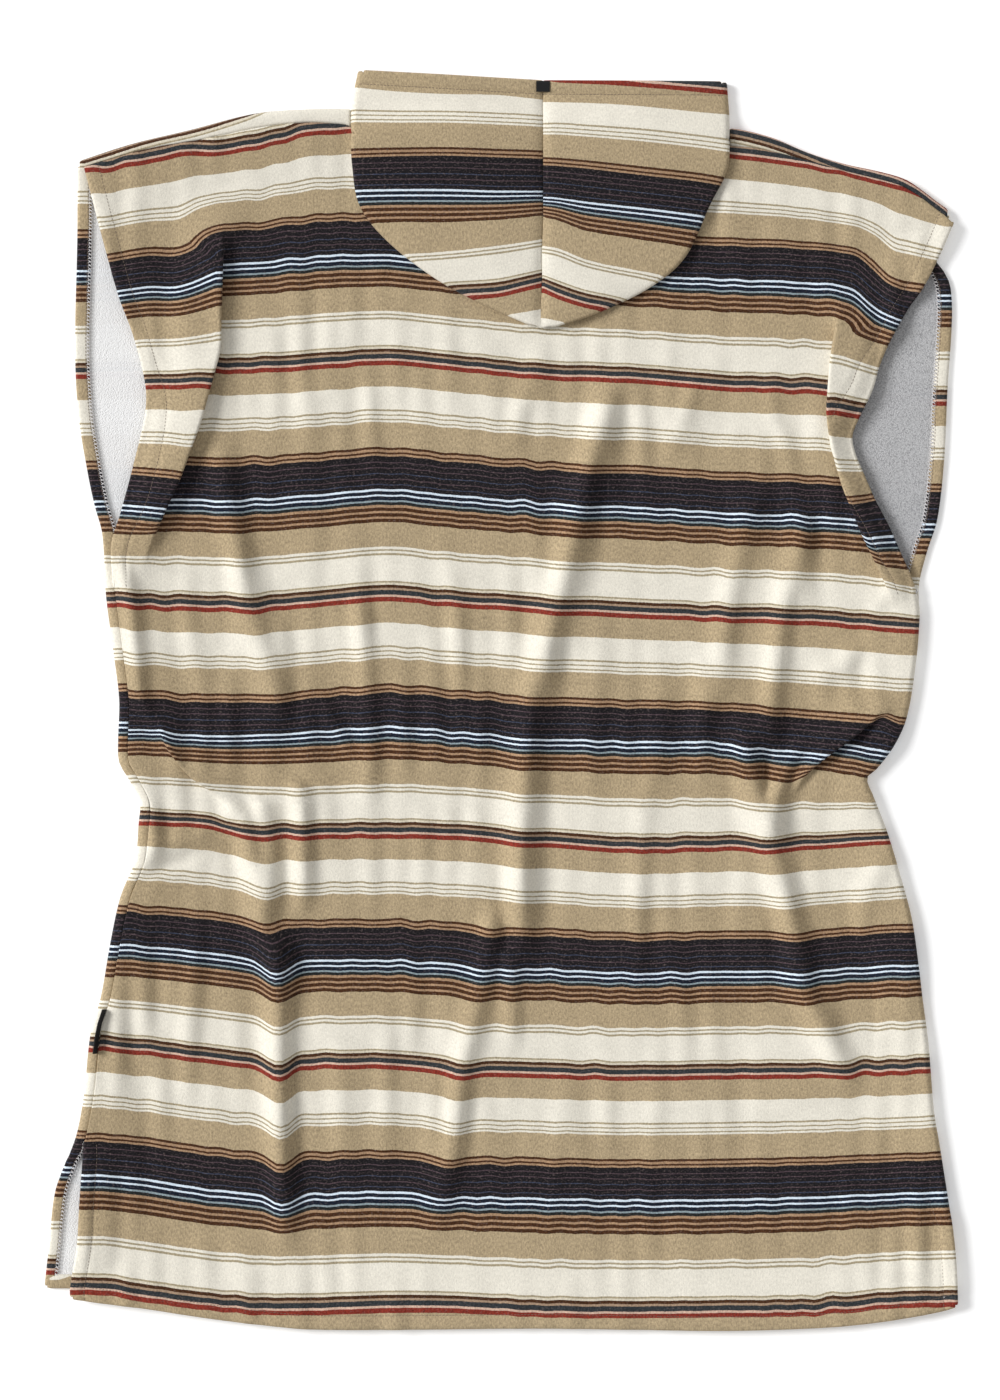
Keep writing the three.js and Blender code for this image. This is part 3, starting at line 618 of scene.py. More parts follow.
def front_cloth():
    """The front panel, its outer side down, with its shoulders, left side and hems folded over."""
    ROWS = 176
    SIDE_RUN, NECK_RUN = (48, 0.05, 2), (46, 0.05, 1)
    sheet = Sheet()

    def top(x):
        in_neck = (x > NECK[0] + 0.01) & (x < NECK[1] - 0.01)
        return np.where(in_neck, front_neck_y(x) - SEAM_GAP, curve_at(SHOULDER_FOLD, x) - ROLL)

    def bottom(x):
        return np.where(x < BACK_HEM[0][0], FRONT_CORNER[1], hem_y(x) + FRONT_SHORTER) + HEM_RADIUS

    row_y = row_heights(top, bottom, ROWS)
    left = meeting_x(FRONT_LEFT, row_y)
    right = meeting_x(FRONT_RIGHT, row_y)
    seam_left = seamed_share(LEFT_SEAM, row_y(left))
    seam_right = seamed_share(RIGHT_SEAM, row_y(right))
    radius_left = mix(HEM_RADIUS, ROLL, seam_left)
    radius_right = mix(HEM_RADIUS, ROLL, seam_right)
    turn_right = mix(math.pi, math.pi / 2, seam_right)
    start = left + radius_left
    end = right - reach_of(radius_right, turn_right)
    neck = [np.full(start.shape, side) for side in NECK]
    x = columns_between([start, *neck, end], [SIDE_RUN, NECK_RUN, SIDE_RUN])
    y = row_y(x)
    lift = np.clip(ripple(x, y, 0.8), 0, None)
    ids = sheet.add(x, y, FRONT_LEVEL + lift, x, stripes_at(FRONT_COLUMNS, FRONT_COURSES, x, y))
    sheet.join(ids)

    left_y = y[:, 0]
    hem = np.where(left_y < LEFT_SEAM[1], VENT_HEM, HEM)
    over = mix(hem, curve_at(BACK_LEFT, left_y) - SEAM_GAP - start[:, 0], seam_left[:, 0])
    settle = FACING_SETTLES * (1 - seam_left[:, 0])
    rings = turn_edge(sheet, ids[:, 0], (-1, 0), 1, radius_left[:, 0], math.pi, over, settle)
    sheet.join(rings.T[:, ::-1])
    add_facing_threads(sheet, rings, (left_y > LEFT_SEAM[0]) & (left_y < ARMHOLE_TOP[0]))
    add_facing_threads(sheet, rings, left_y < LEFT_SEAM[1])
    hemmed = 1 - seam_right[:, 0]
    rings = turn_edge(sheet, ids[:, -1], (1, 0), 1, radius_right[:, 0], turn_right[:, 0], HEM * hemmed,
                      FACING_SETTLES * hemmed)
    sheet.join(rings.T)
    right_y = y[:, -1]
    add_facing_threads(sheet, rings, (right_y > RIGHT_SEAM[0]) & (right_y < ARMHOLE_TOP[1]))
    sheet.join(turn_edge(sheet, ids[-1], (0, -1), 1, HEM_RADIUS, math.pi, HEM))
    for shoulder in (ids[0][x[0] <= NECK[0]], ids[0][x[0] >= NECK[1]]):
        points = sheet.points[shoulder]
        over = points[:, 1] - shoulder_seam_y(points[:, 0]) - SEAM_GAP
        rings = turn_edge(sheet, shoulder, (0, 1), 1, ROLL, math.pi, over)
        full = math.pi * ROLL + over
        from_seam = full - np.maximum(0, (sheet.weave[shoulder, 1] - sheet.weave[rings, 1]) * REPEAT)
        sheet.weave[rings[1:], 1] = shoulder_place(points[:, 0], from_seam)[1:]
        sheet.join(rings[::-1])
    return sheet


def add_facing_threads(sheet, rings, rows):
    """The stitches and the overlock near the inner edge of a turned facing, for some of its rows."""
    outer, inner = (raised(sheet.points[ring[rows]]) for ring in rings[-2:])
    sheet.stitches.append(mix(outer, inner, 0.1))
    sheet.overlock.append(mix(outer, inner, 0.8))


def shoulder_place(x, from_seam):
    """The stripes on the front where it comes over the shoulder, at a length of cloth from the seam."""
    BROWN_PLACE = -0.053  # the brown stripe, as a share of the repeat
    BROWN_FROM_SEAM = [
        (-345, 4), (-279, 7), (-240, 10.5), (-215, 14), (-200, 19), (-133, 28), (0, 24), (203, 7.5),
        (228, 4.5), (249, 2.5), (270, 0), (290, -2.5), (345, -3.5), (400, -3.5),
    ]
    return BROWN_PLACE + (from_seam - curve_at(BROWN_FROM_SEAM, x)) / REPEAT


def seam_dip(distance):
    return SEAM_DIP * np.exp(-((distance / SEAM_REACH) ** 2))


def back_cloth():
    """The back panel, with its folds, its turned hems and its right side rolled down to the seam."""
    ROWS = 206
    STRIP_RUN, MAIN_RUN = (25, 0.1, 1.2), (140, 0.02, 4)
    sheet = Sheet()
    row_y = row_heights(shoulder_seam_y, lambda x: hem_y(x) + HEM_RADIUS, ROWS)
    left = meeting_x(BACK_LEFT, row_y)
    right = meeting_x(BACK_RIGHT, row_y)
    seam_left = seamed_share(LEFT_SEAM, row_y(left))
    seam_right = seamed_share(RIGHT_SEAM, row_y(right))
    turn_left = math.pi * (1 - seam_left)
    radius_right = mix(HEM_RADIUS, ROLL, seam_right)
    turn_right = mix(math.pi, math.pi / 2, seam_right)
    start = left + HEM_RADIUS * (1 - seam_left)
    end = right - reach_of(radius_right, turn_right)
    guides = [meeting_x(LEFT_GUIDE, row_y), meeting_x(RIGHT_GUIDE, row_y)]
    x = columns_between([start, *guides, end], [STRIP_RUN, MAIN_RUN, STRIP_RUN])
    y = row_y(x)
    rise, slip = folds_at(x, y)
    (move_x, move_y, move_z), strips, lower = pleats_at(x, y, np.minimum(x - start, end - x))
    hem_line = hem_y(x) + HEM + HEM_RADIUS
    hemmed_left, hemmed_right = 1 - seam_left, 1 - seam_right
    groove = groove_at(x - start - HEM) * hemmed_left + groove_at(end - x - HEM) * hemmed_right
    groove = groove + groove_at(y - hem_line)
    dips = seam_dip(x - start) * seam_left + seam_dip(shoulder_seam_y(x) - y)
    drape = ripple(x, y, 1.4) + fine_drape(x, y, 3.0)
    z = back_level(x, y) + LOFT + FOLD_HEIGHT * rise + move_z + drape - groove - dips
    z = np.maximum(z, REST_LEVEL)
    slip = slip + lower + fine_drape(x + 90, y + 40, 1.8)
    down = body_stripes(x + move_x, y + move_y + slip, strips)
    ids = sheet.add(x + move_x, y + move_y, z, x, down)
    sheet.join(ids)

    surface = raised(sheet.points[ids])
    left_line = read_across(x, surface, start[:, 0] + HEM)
    right_line = read_across(x, surface, end[:, 0] - HEM)
    left_y, right_y = y[:, 0], y[:, -1]
    for line, part in ((left_line, left_y > LEFT_SEAM[0]), (left_line, left_y < LEFT_SEAM[1]),
                       (right_line, right_y > RIGHT_SEAM[0]), (right_line, right_y < RIGHT_SEAM[1])):
        sheet.stitches.append(line[part])
    sheet.stitches.append(read_down(y, surface, hem_line[-1]))

    over = HEM * (1 - seam_left[:, 0])
    rings = turn_edge(sheet, ids[:, 0], (-1, 0), -1, HEM_RADIUS, turn_left[:, 0], over)
    sheet.join(rings.T[:, ::-1])
    over = HEM * (1 - seam_right[:, 0])
    rings = turn_edge(sheet, ids[:, -1], (1, 0), -1, radius_right[:, 0], turn_right[:, 0], over)
    sheet.join(rings.T)
    sheet.join(turn_edge(sheet, ids[-1], (0, -1), -1, HEM_RADIUS, math.pi, HEM))
    return sheet


def groove_at(distance):
    """The dent along a line of stitches."""
    DEPTH, HALF_WIDTH = 1.0, 2.0
    return DEPTH * np.exp(-((distance / HALF_WIDTH) ** 2))


def body_stripes(x, y, strips):
    """The body's stripes, which step at the lips of the two pleats."""
    place = stripes_at(BODY_COLUMNS, BODY_COURSES, x, y)
    tables = ((STRIP_LEFT_COLUMNS, STRIP_LEFT_COURSES), (STRIP_RIGHT_COLUMNS, STRIP_RIGHT_COURSES))
    for (columns, courses), strip in zip(tables, strips):
        place = mix(place, stripes_at(columns, courses, x, y), strip)
    return place


def under_level(x, y):
    return back_level(x, y) + CLOTH + HOOD_GAP


def upper_level(x, y):
    beyond = smooth(2, NECK_SLOPE, y - shoulder_seam_y(x))
    return mix(under_level(x, y) + HOOD_STEP, HOOD_OVER_FLOOR, beyond)


def hood_half(side):
    """Half of the hood: rows run from the seam over the upper layer, round the side fold and back below."""
    ROWS_PER_STEP, UPPER_STEPS, FOLD_STEPS, UNDER_STEPS = 8, 48, 8, 16
    FRONT_FOLD, BACK_FOLD = 4, 2.4  # half widths of the side fold above the floor and above the panel
    PUFF = 2.2  # how far the upper layer stands up between seam and fold
    SEAM_DEPTH, SEAM_WIDTH = 1.8, 5  # of the dip along the hood's seam
    sign = -1 if side == "left" else 1
    column = 0 if side == "left" else 2
    columns = HOOD_LEFT_COLUMNS if side == "left" else HOOD_RIGHT_COLUMNS
    courses = HOOD_LEFT_COURSES if side == "left" else HOOD_RIGHT_COURSES
    sheet = Sheet()
    last = len(HOOD_ROWS) - 1
    t = np.linspace(0, last, last * ROWS_PER_STEP + 1)[:, None]

    def place(index, axis):
        return curve_at([(k, row[index][axis]) for k, row in enumerate(HOOD_ROWS)], t)

    def facing(rows):
        return rows if side == "right" else rows[:, ::-1]

    half = mix(FRONT_FOLD, BACK_FOLD, smooth(HOOD_NECK_ROW - 1, HOOD_NECK_ROW + 1, t))
    seam_x, seam_y = place(1, 0) + sign * SEAM_GAP / 2, place(1, 1)
    fold_x, fold_y = place(column, 0) - sign * (HALF + half), place(column, 1)
    share = crowded(UPPER_STEPS, 0.05, 2)[None, :]
    x, y = mix(seam_x, fold_x, share), mix(seam_y, fold_y, share)
    width, from_seam = np.abs(fold_x - seam_x), np.abs(x - seam_x)
    puff = PUFF * np.sin(math.pi * share) ** 0.7 * smooth(10, 60, width)
    dip = SEAM_DEPTH * np.exp(-((from_seam / SEAM_WIDTH) ** 2))
    groove = groove_at(y[:1] - HEM - y)
    z = upper_level(x, y) + puff - dip - groove + ripple(1.7 * x, 1.9 * y, 1.2)
    upper = sheet.add(x, y, z, from_seam, stripes_at(columns, courses, x, y))
    sheet.join(facing(upper))
    sheet.stitches.append(read_down(y, raised(sheet.points[upper]), y[0] - HEM)[::sign])

    def add_under(rows, end_y, on_floor):
        """The fold and the under layer of some rows."""
        fx, fy, top = fold_x[rows], fold_y[rows], z[rows, -1:]
        bottom = np.full(fx.shape, FRONT_LEVEL) if on_floor else under_level(fx, fy)
        angle = np.linspace(0, math.pi, FOLD_STEPS + 1)[None, 1:]
        arc_x = fx + sign * half[rows] * np.sin(angle)
        arc_y = fy + HEM_RADIUS * (1 - smooth(0, 0.5, t[rows])) + 0 * angle
        arc_z = mix(bottom, top, (1 + np.cos(angle)) / 2)
        inward = np.linspace(0, 1, UNDER_STEPS + 1)[None, 1:]
        bulge = np.sin(inward * math.pi / 2) if on_floor else inward
        under_x = mix(fx, seam_x[rows], inward)
        under_y = mix(fy, curve_at(end_y, t[rows]), bulge)
        under_z = np.full(under_x.shape, FRONT_LEVEL) if on_floor else under_level(under_x, under_y)
        new_x = np.hstack([arc_x, under_x])
        new_y = np.hstack([arc_y, under_y])
        new_z = np.hstack([arc_z, under_z])
        steps = np.hypot(np.diff(new_x, axis=1, prepend=fx), np.diff(new_z, axis=1, prepend=top))
        across = width[rows] + np.cumsum(steps, axis=1)
        ids = sheet.add(new_x, new_y, new_z, across, stripes_at(columns, courses, new_x, new_y))
        sheet.join(facing(np.hstack([upper[rows, -1:], ids])))

    neck = HOOD_NECK_ROW * ROWS_PER_STEP
    add_under(slice(0, neck + 1), HOOD_FRONT_ENDS, True)
    add_under(slice(neck, len(t)), HOOD_BACK_ENDS, False)
    face_edge = upper[0] if side == "right" else upper[0, ::-1]
    hem = turn_edge(sheet, face_edge, (0, 1), -1, HEM_RADIUS, math.pi, HEM)
    sheet.join(hem[::-1])
    return sheet


def cloth_piece(name, sheet, outer_below, finishes):
    """A closed wall from a sheet: outer and inner side, and a rim along every free edge."""
    normals = sheet.normals()
    count = len(sheet.points)
    rim = sheet.rim()
    half = np.full((count, 1), HALF)
    half[rim] = HALF * RIM
    upper = sheet.points + normals * half
    lower = sheet.points - normals * half
    vertices = (np.vstack([upper, lower]) + (0, ORIGIN_Y, 0)) * MM
    cells = sheet.cells
    sides = np.column_stack([rim[:, 0], rim[:, 0] + count, rim[:, 1] + count, rim[:, 1]])
    faces = np.vstack([cells, cells[:, ::-1] + count, sides])
    mesh = bpy.data.meshes.new(name)
    mesh.from_pydata(vertices.tolist(), [], faces.tolist())
    weave = np.vstack([sheet.weave, sheet.weave]) * (MM, REPEAT * MM)
    layer = mesh.uv_layers.new(name="weave")
    loops = np.zeros(len(mesh.loops), dtype=int)
    mesh.loops.foreach_get("vertex_index", loops)
    layer.data.foreach_set("uv", weave[loops].astype(np.float32).ravel())
    upper_kind, lower_kind = (1, 0) if outer_below else (0, 1)
    kinds = np.repeat([upper_kind, lower_kind, 0], [len(cells), len(cells), len(sides)])
    mesh.polygons.foreach_set("material_index", kinds)
    rounded = np.arange(len(faces)) < 2 * len(cells)  # a flat rim doesn't shade the cloth beside it
    mesh.polygons.foreach_set("use_smooth", rounded)
    for finish in finishes:
        mesh.materials.append(finish)
    mesh.update()
    piece = bpy.data.objects.new(name, mesh)
    bpy.context.scene.collection.objects.link(piece)
    return piece


def linear(colour):
    """A colour given as 0 to 255 on screen, as the light that it reflects."""
    return tuple(((c / 255 + 0.055) / 1.055) ** 2.4 if c > 10 else c / 255 / 12.92 for c in colour)


class Value:
    """A number, vector or piece of geometry in a node tree. Arithmetic on it adds Math nodes."""

    def __init__(self, graph, socket):
        self.graph = graph
        self.socket = socket

    def math(self, operation, *others):
        return self.graph.node("ShaderNodeMath", {"operation": operation}, dict(enumerate([self, *others])))

    def __add__(self, other):
        return self.math("ADD", other)

    def __mul__(self, other):
        return self.math("MULTIPLY", other)

    def __sub__(self, other):
        return self.math("SUBTRACT", other)

    def __rsub__(self, other):
        return self.graph.node("ShaderNodeMath", {"operation": "SUBTRACT"}, {0: other, 1: self})

    __radd__ = __add__
    __rmul__ = __mul__


class Graph:
    """A node tree under construction."""

    def __init__(self, tree):
        self.tree = tree

    def node(self, kind, settings=None, inputs=None, output=0):
        """A node of this kind: first its settings, then the values or links of its sockets."""
        node = self.tree.nodes.new(kind)
        settings = dict(settings or {})
        stops = settings.pop("stops", None)
        for name, value in settings.items():
            setattr(node, name, value)
        if stops:
            ramp = node.color_ramp
            ramp.interpolation = "CONSTANT"
            while len(ramp.elements) < len(stops):
                ramp.elements.new(1)
            for element, (position, colour) in zip(ramp.elements, stops):
                element.position = position
                element.color = (*colour, 1)
        for key, value in (inputs or {}).items():
            for part in value if isinstance(value, list) else [value]:
                if isinstance(part, Value):
                    self.tree.links.new(part.socket, node.inputs[key])
                else:
                    node.inputs[key].default_value = part
        return Value(self, node.outputs[output]) if node.outputs else None


class Finish(Graph):
    """A material under construction."""

    def __init__(self, name):
        self.material = bpy.data.materials.new(name)
        self.material.use_nodes = True
        self.material.node_tree.nodes.clear()
        super().__init__(self.material.node_tree)

    def blend(self, factor, low, high, mode="MIX"):
        """Two colours mixed."""
        low, high = (part if isinstance(part, Value) else (*part, 1) for part in (low, high))
        settings = {"data_type": "RGBA", "blend_type": mode}
        return self.node("ShaderNodeMix", settings, {0: factor, 6: low, 7: high}, output=2)

    def close(self, shader):
        self.node("ShaderNodeOutputMaterial", {}, {"Surface": shader})
        return self.material


def noise(finish, vector, scale, detail=2.0, rough=0.5):
    inputs = {"Vector": vector, "Scale": scale, "Detail": detail, "Roughness": rough}
    return finish.node("ShaderNodeTexNoise", {}, inputs)


def stretched(finish, vector, across, down):
    return finish.node("ShaderNodeMapping", {}, {"Vector": vector, "Scale": (across, down, 1)})


def stripe_stops(bands, start, length):
    """The ramp of a run of bands, from the band at start."""
    stops, at = [], 0
    for name, width in bands:
        stops.append(((at - start) / length, linear(YARNS[name])))
        at += width
    return stops


def stripe_colour(finish, weave, fuzz):
    """The yarn's colour: the bands down the cloth, with borders as fuzzy as the given width."""
    HALFWAY = 25  # bands in the first of the two ramps
    down = finish.node("ShaderNodeSeparateXYZ", {}, {0: weave}, output="Y")
    pile = noise(finish, weave, 1500, 1.0)
    waver = noise(finish, weave, 300, 1.0)
    fray = fuzz / REPEAT
    place = down * (1 / (REPEAT * MM)) + (pile - 0.5) * fray + (waver - 0.5) * (0.7 * fray)
    place = place.math("FRACT")
    first_length = sum(width for _, width in BANDS[:HALFWAY])
    second_length = REPEAT - first_length
    first = finish.node("ShaderNodeValToRGB", {"stops": stripe_stops(BANDS[:HALFWAY], 0, first_length)},
                        {"Fac": place * (REPEAT / first_length)})
    second = finish.node("ShaderNodeValToRGB", {"stops": stripe_stops(BANDS[HALFWAY:], 0, second_length)},
                         {"Fac": (place - first_length / REPEAT) * (REPEAT / second_length)})
    return finish.blend(place.math("GREATER_THAN", first_length / REPEAT), first, second)


def striped_velour():
    """Sheared pile, dyed in the yarn. Dark yarns are heathered most and cream ones hardly at all."""
    finish = Finish("striped velour")
    weave = finish.node("ShaderNodeUVMap", {"uv_map": "weave"})
    colour = stripe_colour(finish, weave, 0.8)
    light = finish.node("ShaderNodeRGBToBW", {}, {"Color": colour})
    streaks = noise(finish, stretched(finish, weave, 640, 360), 1, 3.0, 0.8)
    specks = noise(finish, stretched(finish, weave, 420, 700), 1, 2.0, 0.6)
    patches = noise(finish, weave, 45, 2.0)
    heather = 1.2 - light * 1.3
    tone = 1 + (streaks - 0.5) * heather * 2.6 + (patches - 0.5) * 0.2
    grey = finish.node("ShaderNodeCombineColor", {}, {0: tone, 1: tone, 2: tone})
    colour = finish.blend(1.0, colour, grey, mode="MULTIPLY")
    lint = ((specks - 0.54) * (1.5 - light * 2.6)).math("MAXIMUM", 0.0)
    colour = finish.blend(lint, colour, linear((150, 132, 128)))
    pile = noise(finish, weave, 1100, 2.0, 0.7)
    height = pile + patches * 0.8 + streaks * 0.6
    bump = finish.node("ShaderNodeBump", {}, {"Height": height, "Strength": 0.6, "Distance": 0.0007})
    shader = finish.node("ShaderNodeBsdfPrincipled", {}, {
        "Base Color": colour, "Roughness": 0.95, "Normal": bump, "Specular IOR Level": 0.12,
        "Sheen Weight": 0.06, "Sheen Roughness": 0.5, "Sheen Tint": (1, 0.97, 0.92, 1),
    })
    return finish.close(shader)


def looped_terry():
    """The inner side: short pale loops, through which the stripes of the other side show faintly.

    Towards the poncho's right side its colour is darkened with painted shade, which stands for the shade
    over the right armhole."""
    finish = Finish("looped terry")
    weave = finish.node("ShaderNodeUVMap", {"uv_map": "weave"})
    inputs = {"Vector": weave, "Scale": 900, "Randomness": 0.9}
    loops = finish.node("ShaderNodeTexVoronoi", {"feature": "F1"}, inputs)
    tufts = noise(finish, weave, 650, 3.0, 0.7)
    shade = noise(finish, weave, 26, 3.0)
    depth = loops * 0.7 + tufts * 0.7
    spot = finish.node("ShaderNodeTexCoord", {}, {}, output="Object")
    across = finish.node("ShaderNodeSeparateXYZ", {}, {0: spot}, output="X")
    # Painted shade: the terry turns a darker grey by its place across the poncho, most at the right armhole,
    # whatever the light.
    painted_shade_right = finish.node("ShaderNodeMapRange", {"interpolation_type": "SMOOTHSTEP"}, {
        "Value": across, "From Min": 0.0, "From Max": 0.3, "To Min": 0.0, "To Max": 0.75,
    })
    colour = finish.blend(depth, linear((255, 255, 254)), linear((222, 222, 222)))
    colour = finish.blend(shade * 0.6, colour, linear((236, 236, 238)))
    colour = finish.blend(0.06, colour, stripe_colour(finish, weave, 4.0))
    # The darker grey of that painted shade on the right side.
    grey = finish.blend(depth, linear((224, 224, 226)), linear((98, 98, 102)))
    colour = finish.blend(painted_shade_right, colour, grey)
    bump = finish.node("ShaderNodeBump", {}, {"Height": 1 - depth, "Strength": 1.0, "Distance": 0.0007})
    shader = finish.node("ShaderNodeBsdfPrincipled", {}, {
        "Base Color": colour, "Roughness": 1.0, "Normal": bump, "Specular IOR Level": 0.1,
        "Sheen Weight": 0.1,
    })
    return finish.close(shader)


def woven_tape():
    """The labels' black satin tape, with its fine diagonal weave."""
    finish = Finish("woven tape")
    spot = finish.node("ShaderNodeTexCoord", {}, {}, output="Object")
    twill = finish.node("ShaderNodeTexWave", {"bands_direction": "DIAGONAL"}, {"Vector": spot, "Scale": 900})
    colour = finish.blend(twill, linear((12, 12, 13)), linear((24, 24, 26)))
    bump = finish.node("ShaderNodeBump", {}, {"Height": twill, "Strength": 0.4, "Distance": 0.0002})
    shader = finish.node("ShaderNodeBsdfPrincipled", {}, {
        "Base Color": colour, "Roughness": 0.7, "Normal": bump, "Specular IOR Level": 0.25,
    })
    return finish.close(shader)


def sewing_thread(name, colour):
    """Twisted thread."""
    finish = Finish(name)
    spot = finish.node("ShaderNodeTexCoord", {}, {}, output="Object")
    strands = noise(finish, spot, 2200, 1.0)
    shade = finish.blend(strands, linear(colour), linear(tuple(c * 0.8 for c in colour)))
    bump = finish.node("ShaderNodeBump", {}, {"Height": strands, "Strength": 0.5, "Distance": 0.0002})
    inputs = {"Base Color": shade, "Roughness": 0.75, "Normal": bump}
    shader = finish.node("ShaderNodeBsdfPrincipled", {}, inputs)
    return finish.close(shader)


def stitch_tree(name, slants):
    """Short threads along lines: a stitch at each step of the pitch, with one thread for each slant."""
    tree = bpy.data.node_groups.new(name, "GeometryNodeTree")
    tree.interface.new_socket("Lines", in_out="INPUT", socket_type="NodeSocketGeometry")
    for part in ("Pitch", "Length", "Radius", "Arch"):
        tree.interface.new_socket(part, in_out="INPUT", socket_type="NodeSocketFloat")
    tree.interface.new_socket("Finish", in_out="INPUT", socket_type="NodeSocketMaterial")
    tree.interface.new_socket("Threads", in_out="OUTPUT", socket_type="NodeSocketGeometry")
    graph = Graph(tree)
    sockets = tree.nodes.new("NodeGroupInput").outputs
    lines, pitch, length, radius, arch, finish = (
        Value(graph, sockets[part]) for part in ("Lines", "Pitch", "Length", "Radius", "Arch", "Finish"))
    curve = graph.node("GeometryNodeMeshToCurve", {}, {"Mesh": lines})
    evenly = graph.node("GeometryNodeResampleCurve", {"mode": "LENGTH"}, {"Curve": curve, "Length": pitch})
    turn = graph.node("FunctionNodeAlignRotationToVector", {"axis": "X"},
                      {"Vector": graph.node("GeometryNodeInputTangent")})
    start = graph.node("ShaderNodeCombineXYZ", {}, {"X": length * -0.5, "Z": radius * -1.0})
    middle = graph.node("ShaderNodeCombineXYZ", {}, {"Z": arch})
    end = graph.node("ShaderNodeCombineXYZ", {}, {"X": length * 0.5, "Z": radius * -1.0})
    arc = graph.node("GeometryNodeCurveQuadraticBezier", {},
                     {"Resolution": 4, "Start": start, "Middle": middle, "End": end})
    section = graph.node("GeometryNodeCurvePrimitiveCircle", {}, {"Resolution": 5, "Radius": radius})
    thread = graph.node("GeometryNodeCurveToMesh", {},
                        {"Curve": arc, "Profile Curve": section, "Fill Caps": True})
    slanted = [graph.node("GeometryNodeTransform", {}, {"Geometry": thread, "Rotation": (0, 0, slant)})
               for slant in slants]
    stitch = graph.node("GeometryNodeJoinGeometry", {}, {"Geometry": slanted})
    placed = graph.node("GeometryNodeInstanceOnPoints", {},
                        {"Points": evenly, "Instance": stitch, "Rotation": turn})
    whole = graph.node("GeometryNodeRealizeInstances", {}, {"Geometry": placed})
    coloured = graph.node("GeometryNodeSetMaterial", {}, {"Geometry": whole, "Material": finish})
    graph.node("NodeGroupOutput", {}, {"Threads": coloured})
    return tree


def threads(name, lines, tree, **values):
    """The threads along some lines, given in millimetres, as a plain mesh."""
    points, edges = [], []
    for line in lines:
        first = len(points)
        points += ((line + (0, ORIGIN_Y, 0)) * MM).tolist()
        edges += [(k, k + 1) for k in range(first, len(points) - 1)]
    mesh = bpy.data.meshes.new(name + " lines")
    mesh.from_pydata(points, edges, [])
    piece = bpy.data.objects.new(name, mesh)
    bpy.context.scene.collection.objects.link(piece)
    modifier = piece.modifiers.new("threads", "NODES")
    modifier.node_group = tree
    for socket in tree.interface.items_tree:
        if socket.name.lower() in values:
            modifier[socket.identifier] = values[socket.name.lower()]
    made = bpy.data.meshes.new_from_object(piece.evaluated_get(bpy.context.evaluated_depsgraph_get()))
    piece.modifiers.clear()
    piece.data = made
    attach(piece, "root")
    return piece


def plain_floor():
    FLOOR_GLOW = 0.2  # the paper is lit from below as well, so that shadows on it are faint
    finish = Finish("white paper")
    spot = finish.node("ShaderNodeTexCoord", {}, {}, output="Object")
    grain = noise(finish, spot, 300, 2.0)
    colour = finish.blend(grain, (0.93, 0.93, 0.93), (0.95, 0.95, 0.95))
    shader = finish.node("ShaderNodeBsdfPrincipled", {}, {
        "Base Color": colour, "Roughness": 1.0, "Emission Color": (1, 1, 1, 1),
        "Emission Strength": FLOOR_GLOW,
    })
    return finish.close(shader)


def make_camera():
    """Straight above the poncho, through a long lens."""
    DISTANCE = 6.0
    FRAME_HEIGHT = 1.232  # what the picture covers, at the cloth
    SENSOR = 36
    data = bpy.data.cameras.new("camera")
    data.sensor_fit = "VERTICAL"
    data.sensor_height = SENSOR
    data.lens = SENSOR * DISTANCE / FRAME_HEIGHT
    camera = bpy.data.objects.new("camera", data)
    camera.location = (-0.0009, ORIGIN_Y * MM, DISTANCE + 0.008)
    bpy.context.scene.collection.objects.link(camera)
    bpy.context.scene.camera = camera


def make_floor():
    SIZE = 14
    mesh = bpy.data.meshes.new("floor")
    corners = [(-SIZE, -SIZE, 0), (SIZE, -SIZE, 0), (SIZE, SIZE, 0), (-SIZE, SIZE, 0)]
    mesh.from_pydata(corners, [], [(0, 1, 2, 3)])
    mesh.materials.append(plain_floor())
    floor = bpy.data.objects.new("floor", mesh)
    bpy.context.scene.collection.objects.link(floor)


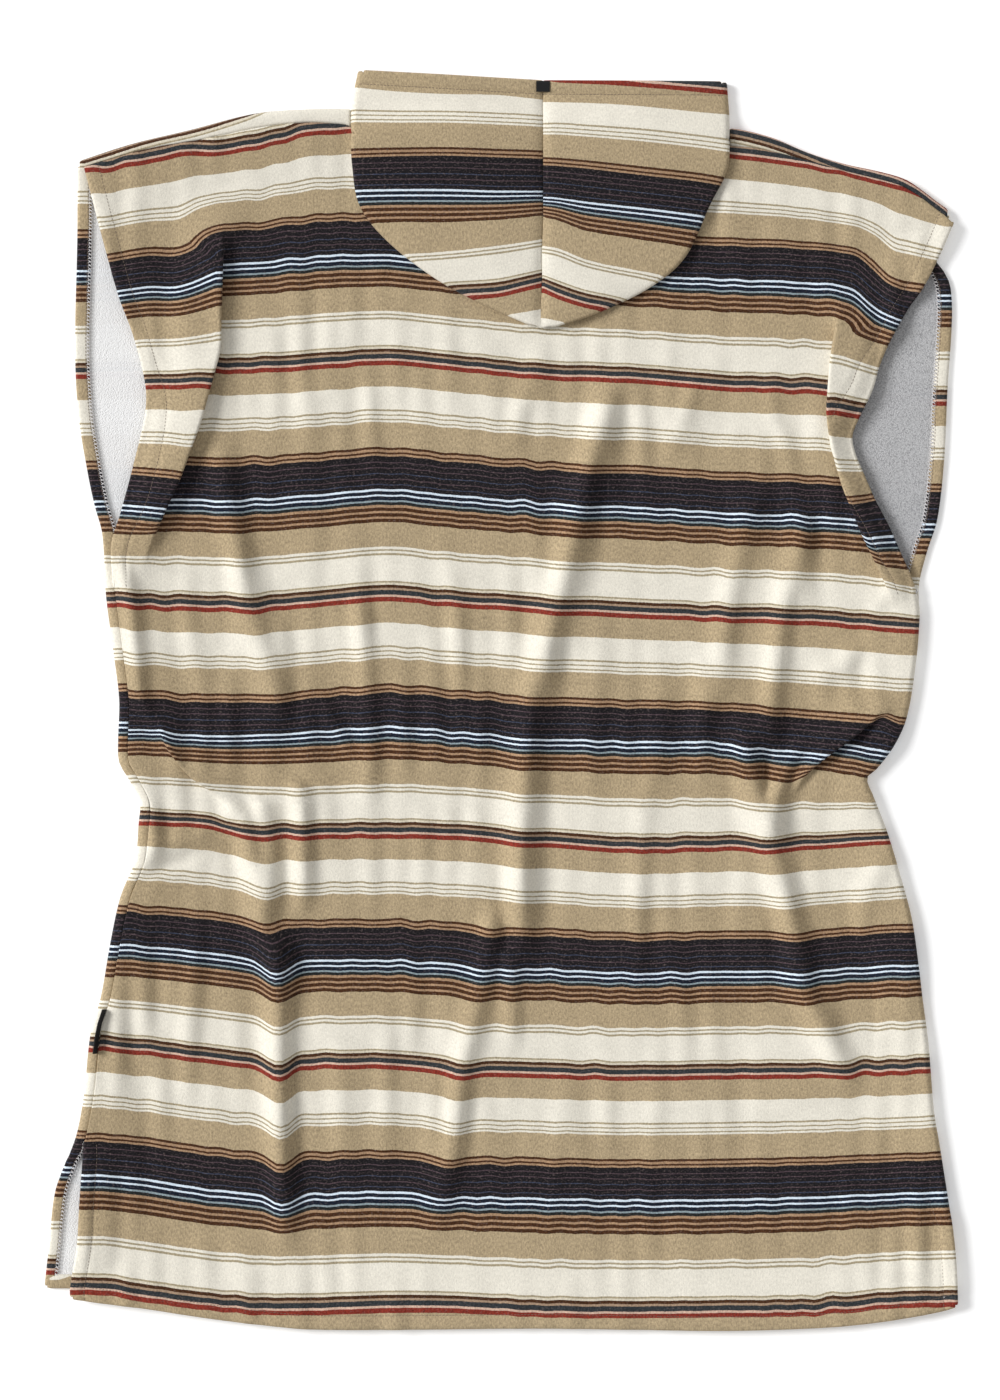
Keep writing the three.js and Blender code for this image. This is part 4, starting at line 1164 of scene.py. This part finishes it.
def make_light():
    """A soft slanting light from the upper left, in a pale room."""
    BRIGHTNESS, ROOM_BRIGHTNESS = 3.4, 0.52
    SOFTNESS = 26  # how wide the light looks from the poncho, in degrees
    FROM_TOP, FROM_LEFT = 14, 56  # how far it leans from straight above, in degrees
    data = bpy.data.lights.new("softbox", "SUN")
    data.energy = BRIGHTNESS
    data.angle = math.radians(SOFTNESS)
    lamp = bpy.data.objects.new("softbox", data)
    lamp.rotation_euler = (math.radians(-FROM_TOP), math.radians(-FROM_LEFT), 0)
    bpy.context.scene.collection.objects.link(lamp)
    world = bpy.data.worlds.new("pale room")
    world.use_nodes = True
    world.node_tree.nodes["Background"].inputs["Color"].default_value = (1, 1, 1, 1)
    world.node_tree.nodes["Background"].inputs["Strength"].default_value = ROOM_BRIGHTNESS
    bpy.context.scene.world = world
    bpy.context.scene.view_settings.view_transform = "Standard"


make_camera()
make_floor()
make_light()

velour = striped_velour()
terry = looped_terry()
sheets = {
    "front": front_cloth(), "back": back_cloth(),
    "hood_left": hood_half("left"), "hood_right": hood_half("right"),
}
front, back, hood_left, hood_right = (
    cloth_piece(name + "_cloth", sheet, name == "front", [velour, terry]) for name, sheet in sheets.items())

tape = woven_tape()
for node in ("hood_label", "side_label"):
    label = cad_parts[node]
    label.data.materials.clear()
    label.data.materials.append(tape)

for piece, node in ((front, "front_panel"), (back, "back_panel"), (hood_left, "hood_left_half"),
                    (hood_right, "hood_right_half")):
    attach(piece, "root")
    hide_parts(node)

hem_thread = sewing_thread("hem thread", (122, 106, 92))
edge_thread = sewing_thread("edge thread", (236, 233, 234))
plain_stitch = stitch_tree("plain stitch", [0.05])
crossed_stitch = stitch_tree("crossed stitch", [0.8, -1.2])
threads("hem_stitches", [line for sheet in sheets.values() for line in sheet.stitches], plain_stitch,
        pitch=STITCH * MM, length=STITCH * 0.72 * MM, radius=THREAD * MM, arch=0.5 * MM, finish=hem_thread)
threads("overlock", [line for sheet in sheets.values() for line in sheet.overlock], crossed_stitch,
        pitch=3.2 * MM, length=4.4 * MM, radius=0.32 * MM, arch=1.0 * MM, finish=edge_thread)
threads("loose_thread", [np.array(LOOSE_THREAD)], plain_stitch,
        pitch=0.8 * MM, length=1.3 * MM, radius=0.3 * MM, arch=0.1 * MM, finish=edge_thread)
